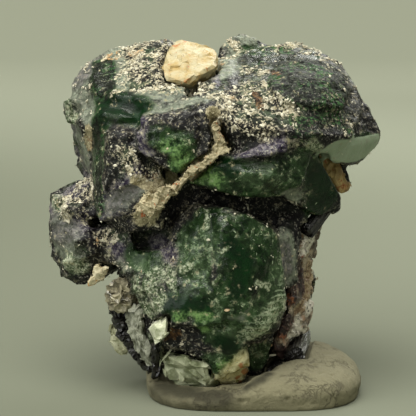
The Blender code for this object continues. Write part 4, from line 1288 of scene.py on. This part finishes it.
rock = take_solid("rock_matrix", "rock_mixed")
redraw(rock, ROCK_GRID, smoothings=3)
surface = surface_of(rock)
points, out = shape_of(rock)
ROCK_STROKES = {
    "white": [
        (2.0, (306, 224), (312, 236), (304, 252)), (1.4, (298, 320), (292, 334), (302, 328)),
        (1.0, (310, 300), (306, 312)),
    ],
    "tan": [(2.0, (308, 268), (304, 300), (300, 312)), (1.4, (306, 232), (300, 246))],
    "rust": [
        (1.0, (300, 256), (300, 264)), (1.0, (290, 296), (292, 304)), (1.2, (302, 314), (304, 324)),
        (1.3, (282, 338), (288, 344)),
    ],
    "brown": [
        (1.8, (290, 278), (288, 296)), (1.4, (298, 262), (300, 290)), (1.6, (286, 318), (284, 330)),
        (1.4, (274, 346), (282, 356)),
    ],
}
for name, strokes in ROCK_STROKES.items():
    keep_mark(rock, name, brushed(points, surface, strokes))
push = ROCK_GROWTH + KNOB_RISE * clouds(points, KNOB_SIZE, 31, octaves=5, rough=0.6)
push += CHIP_RISE * blocks(points, CHIP_SIZE, 31, tilt(0.4, 0.3))
move_points(rock, points + out * push[:, None])
show(rock, "rock_matrix", "rusty_matrix")

# %% The finish of the rock
def rock_finish():
    f = Finish("rock_rusty")
    wide = f.spots(3.0, 4, 0.6) - 0.5
    grain = f.spots(0.8, 5, 0.65) - 0.5

    def marked(name, low=0.1, high=0.4):
        return f.step(f.mark(name) + wide * 0.8 + grain * 1.0, low, high)

    tone = f.tones(wide + grain * 0.6, -0.12, 0.12, (92, 80, 70), (188, 172, 150))
    tone = f.blend(marked("tan"), tone, f.tones(grain, -0.1, 0.1, (120, 96, 70), (188, 168, 138)))
    tone = f.blend(marked("white"), tone, f.tones(grain, -0.15, 0.1, (166, 158, 148), (236, 230, 216)))
    tone = f.blend(marked("brown"), tone, f.tones(grain, -0.05, 0.15, (40, 24, 24), (104, 78, 70)))
    tone = f.blend(marked("rust", 0.45, 0.8) * f.step(grain, -0.1, 0.15) * 0.7, tone, (160, 92, 44))
    flecks = f.step(f.spots(0.5, 3, 0.6), 0.62, 0.70)
    tone = f.blend(flecks * 0.7, tone, (196, 184, 170))
    dark = f.step(f.spots(0.7, 4, 0.6), 0.36, 0.44)
    tone = f.blend((1.0 - dark) * 0.8, tone, (24, 18, 20))
    bumps = f.bump(grain + f.spots(0.25, 3) * 0.4, 0.25, 0.9)
    gloss = (0.62 + grain * 0.5).clamped()
    return f.opaque(tone, gloss, bumps)


rock.data.materials.append(rock_finish())

# %% [markdown]
# ## The putty
#
# The lump of putty was pressed round the foot of the specimen with the fingers. Soft waves make the
# pressed hollows, and small pits and a fine grain make its dull skin. Its flat underside is left as
# it is.

# %% Putty
PUTTY_GRID = 0.26
PRESS_SIZE, PRESS_DEPTH = 3.5, 0.22
GRAIN_SIZE, GRAIN_DEPTH = 0.7, 0.07
PIT_SIZE, PIT_DEPTH = 1.1, 0.34
CRUMBLE_SIZE, CRUMBLE_DEPTH = 1.2, 0.10
# Painted shade: strokes below the specimen's foot, where the specimen shades the putty. Their mark is
# kept as stained.
PUTTY_PAINTED_SHADE = [
    (3.4, (160, 386), (180, 392), (204, 396), (222, 396)), (1.4, (246, 388), (268, 374)),
]

putty = take_solid("putty_base", "putty_lump")
redraw(putty, PUTTY_GRID, smoothings=8)
points, out = shape_of(putty)
above = smooth_step(points[:, 2], 0.3, 1.0)
push = PRESS_DEPTH * clouds(points, PRESS_SIZE, 41, octaves=4)
push += GRAIN_DEPTH * clouds(points, GRAIN_SIZE, 42)
pits = clouds(points, PIT_SIZE, 43, rough=0.6)
crumbled = smooth_step(clouds(points, 4.0, 44), 0.0, 0.25)
push -= PIT_DEPTH * smooth_step(pits, 0.30 - 0.14 * crumbled, 0.5)
push += CRUMBLE_DEPTH * crumbled * clouds(points, CRUMBLE_SIZE, 45, rough=0.7)
move_points(putty, points + out * (push * above)[:, None])
choose(putty)
bpy.ops.object.shade_smooth()
keep_mark(putty, "stained", brushed(shape_of(putty)[0], surface_of(putty), PUTTY_PAINTED_SHADE))
show(putty, "putty_base", "putty")

# %% The finish of the putty
def putty_finish():
    f = Finish("putty_grey")
    tone = f.blend(f.spots(6.0, 4), (112, 108, 84), (138, 133, 106))
    # Painted shade: the stained mark darkens the putty where the specimen shades it.
    stained = f.step(f.mark("stained") + (f.spots(1.5, 4) - 0.5) * 0.8, 0.0, 0.9)
    tone = f.blend(stained * 0.9, tone, (46, 44, 28))
    dirt = f.step(f.spots(0.8, 5, 0.7), 0.60, 0.72)
    tone = f.blend(dirt * 0.5, tone, (88, 80, 58))
    dots = 1.0 - f.step(f.cells(1.6), 0.05, 0.10)
    tone = f.blend(dots * 0.6, tone, (60, 52, 42))
    cracks = f.spots(2.2, 5, 0.7, 0.6).near(0.5, 0.03) * f.step(f.spots(5.0, 2), 0.45, 0.6)
    bumps = f.bump(f.spots(0.5, 6, 0.65) + f.spots(0.12, 2) * 0.3 - cracks, 0.30, 0.7)
    tone = f.blend(cracks * 0.5, tone, (70, 62, 46))
    return f.opaque(tone, 0.88, bumps)


putty.data.materials.append(putty_finish())
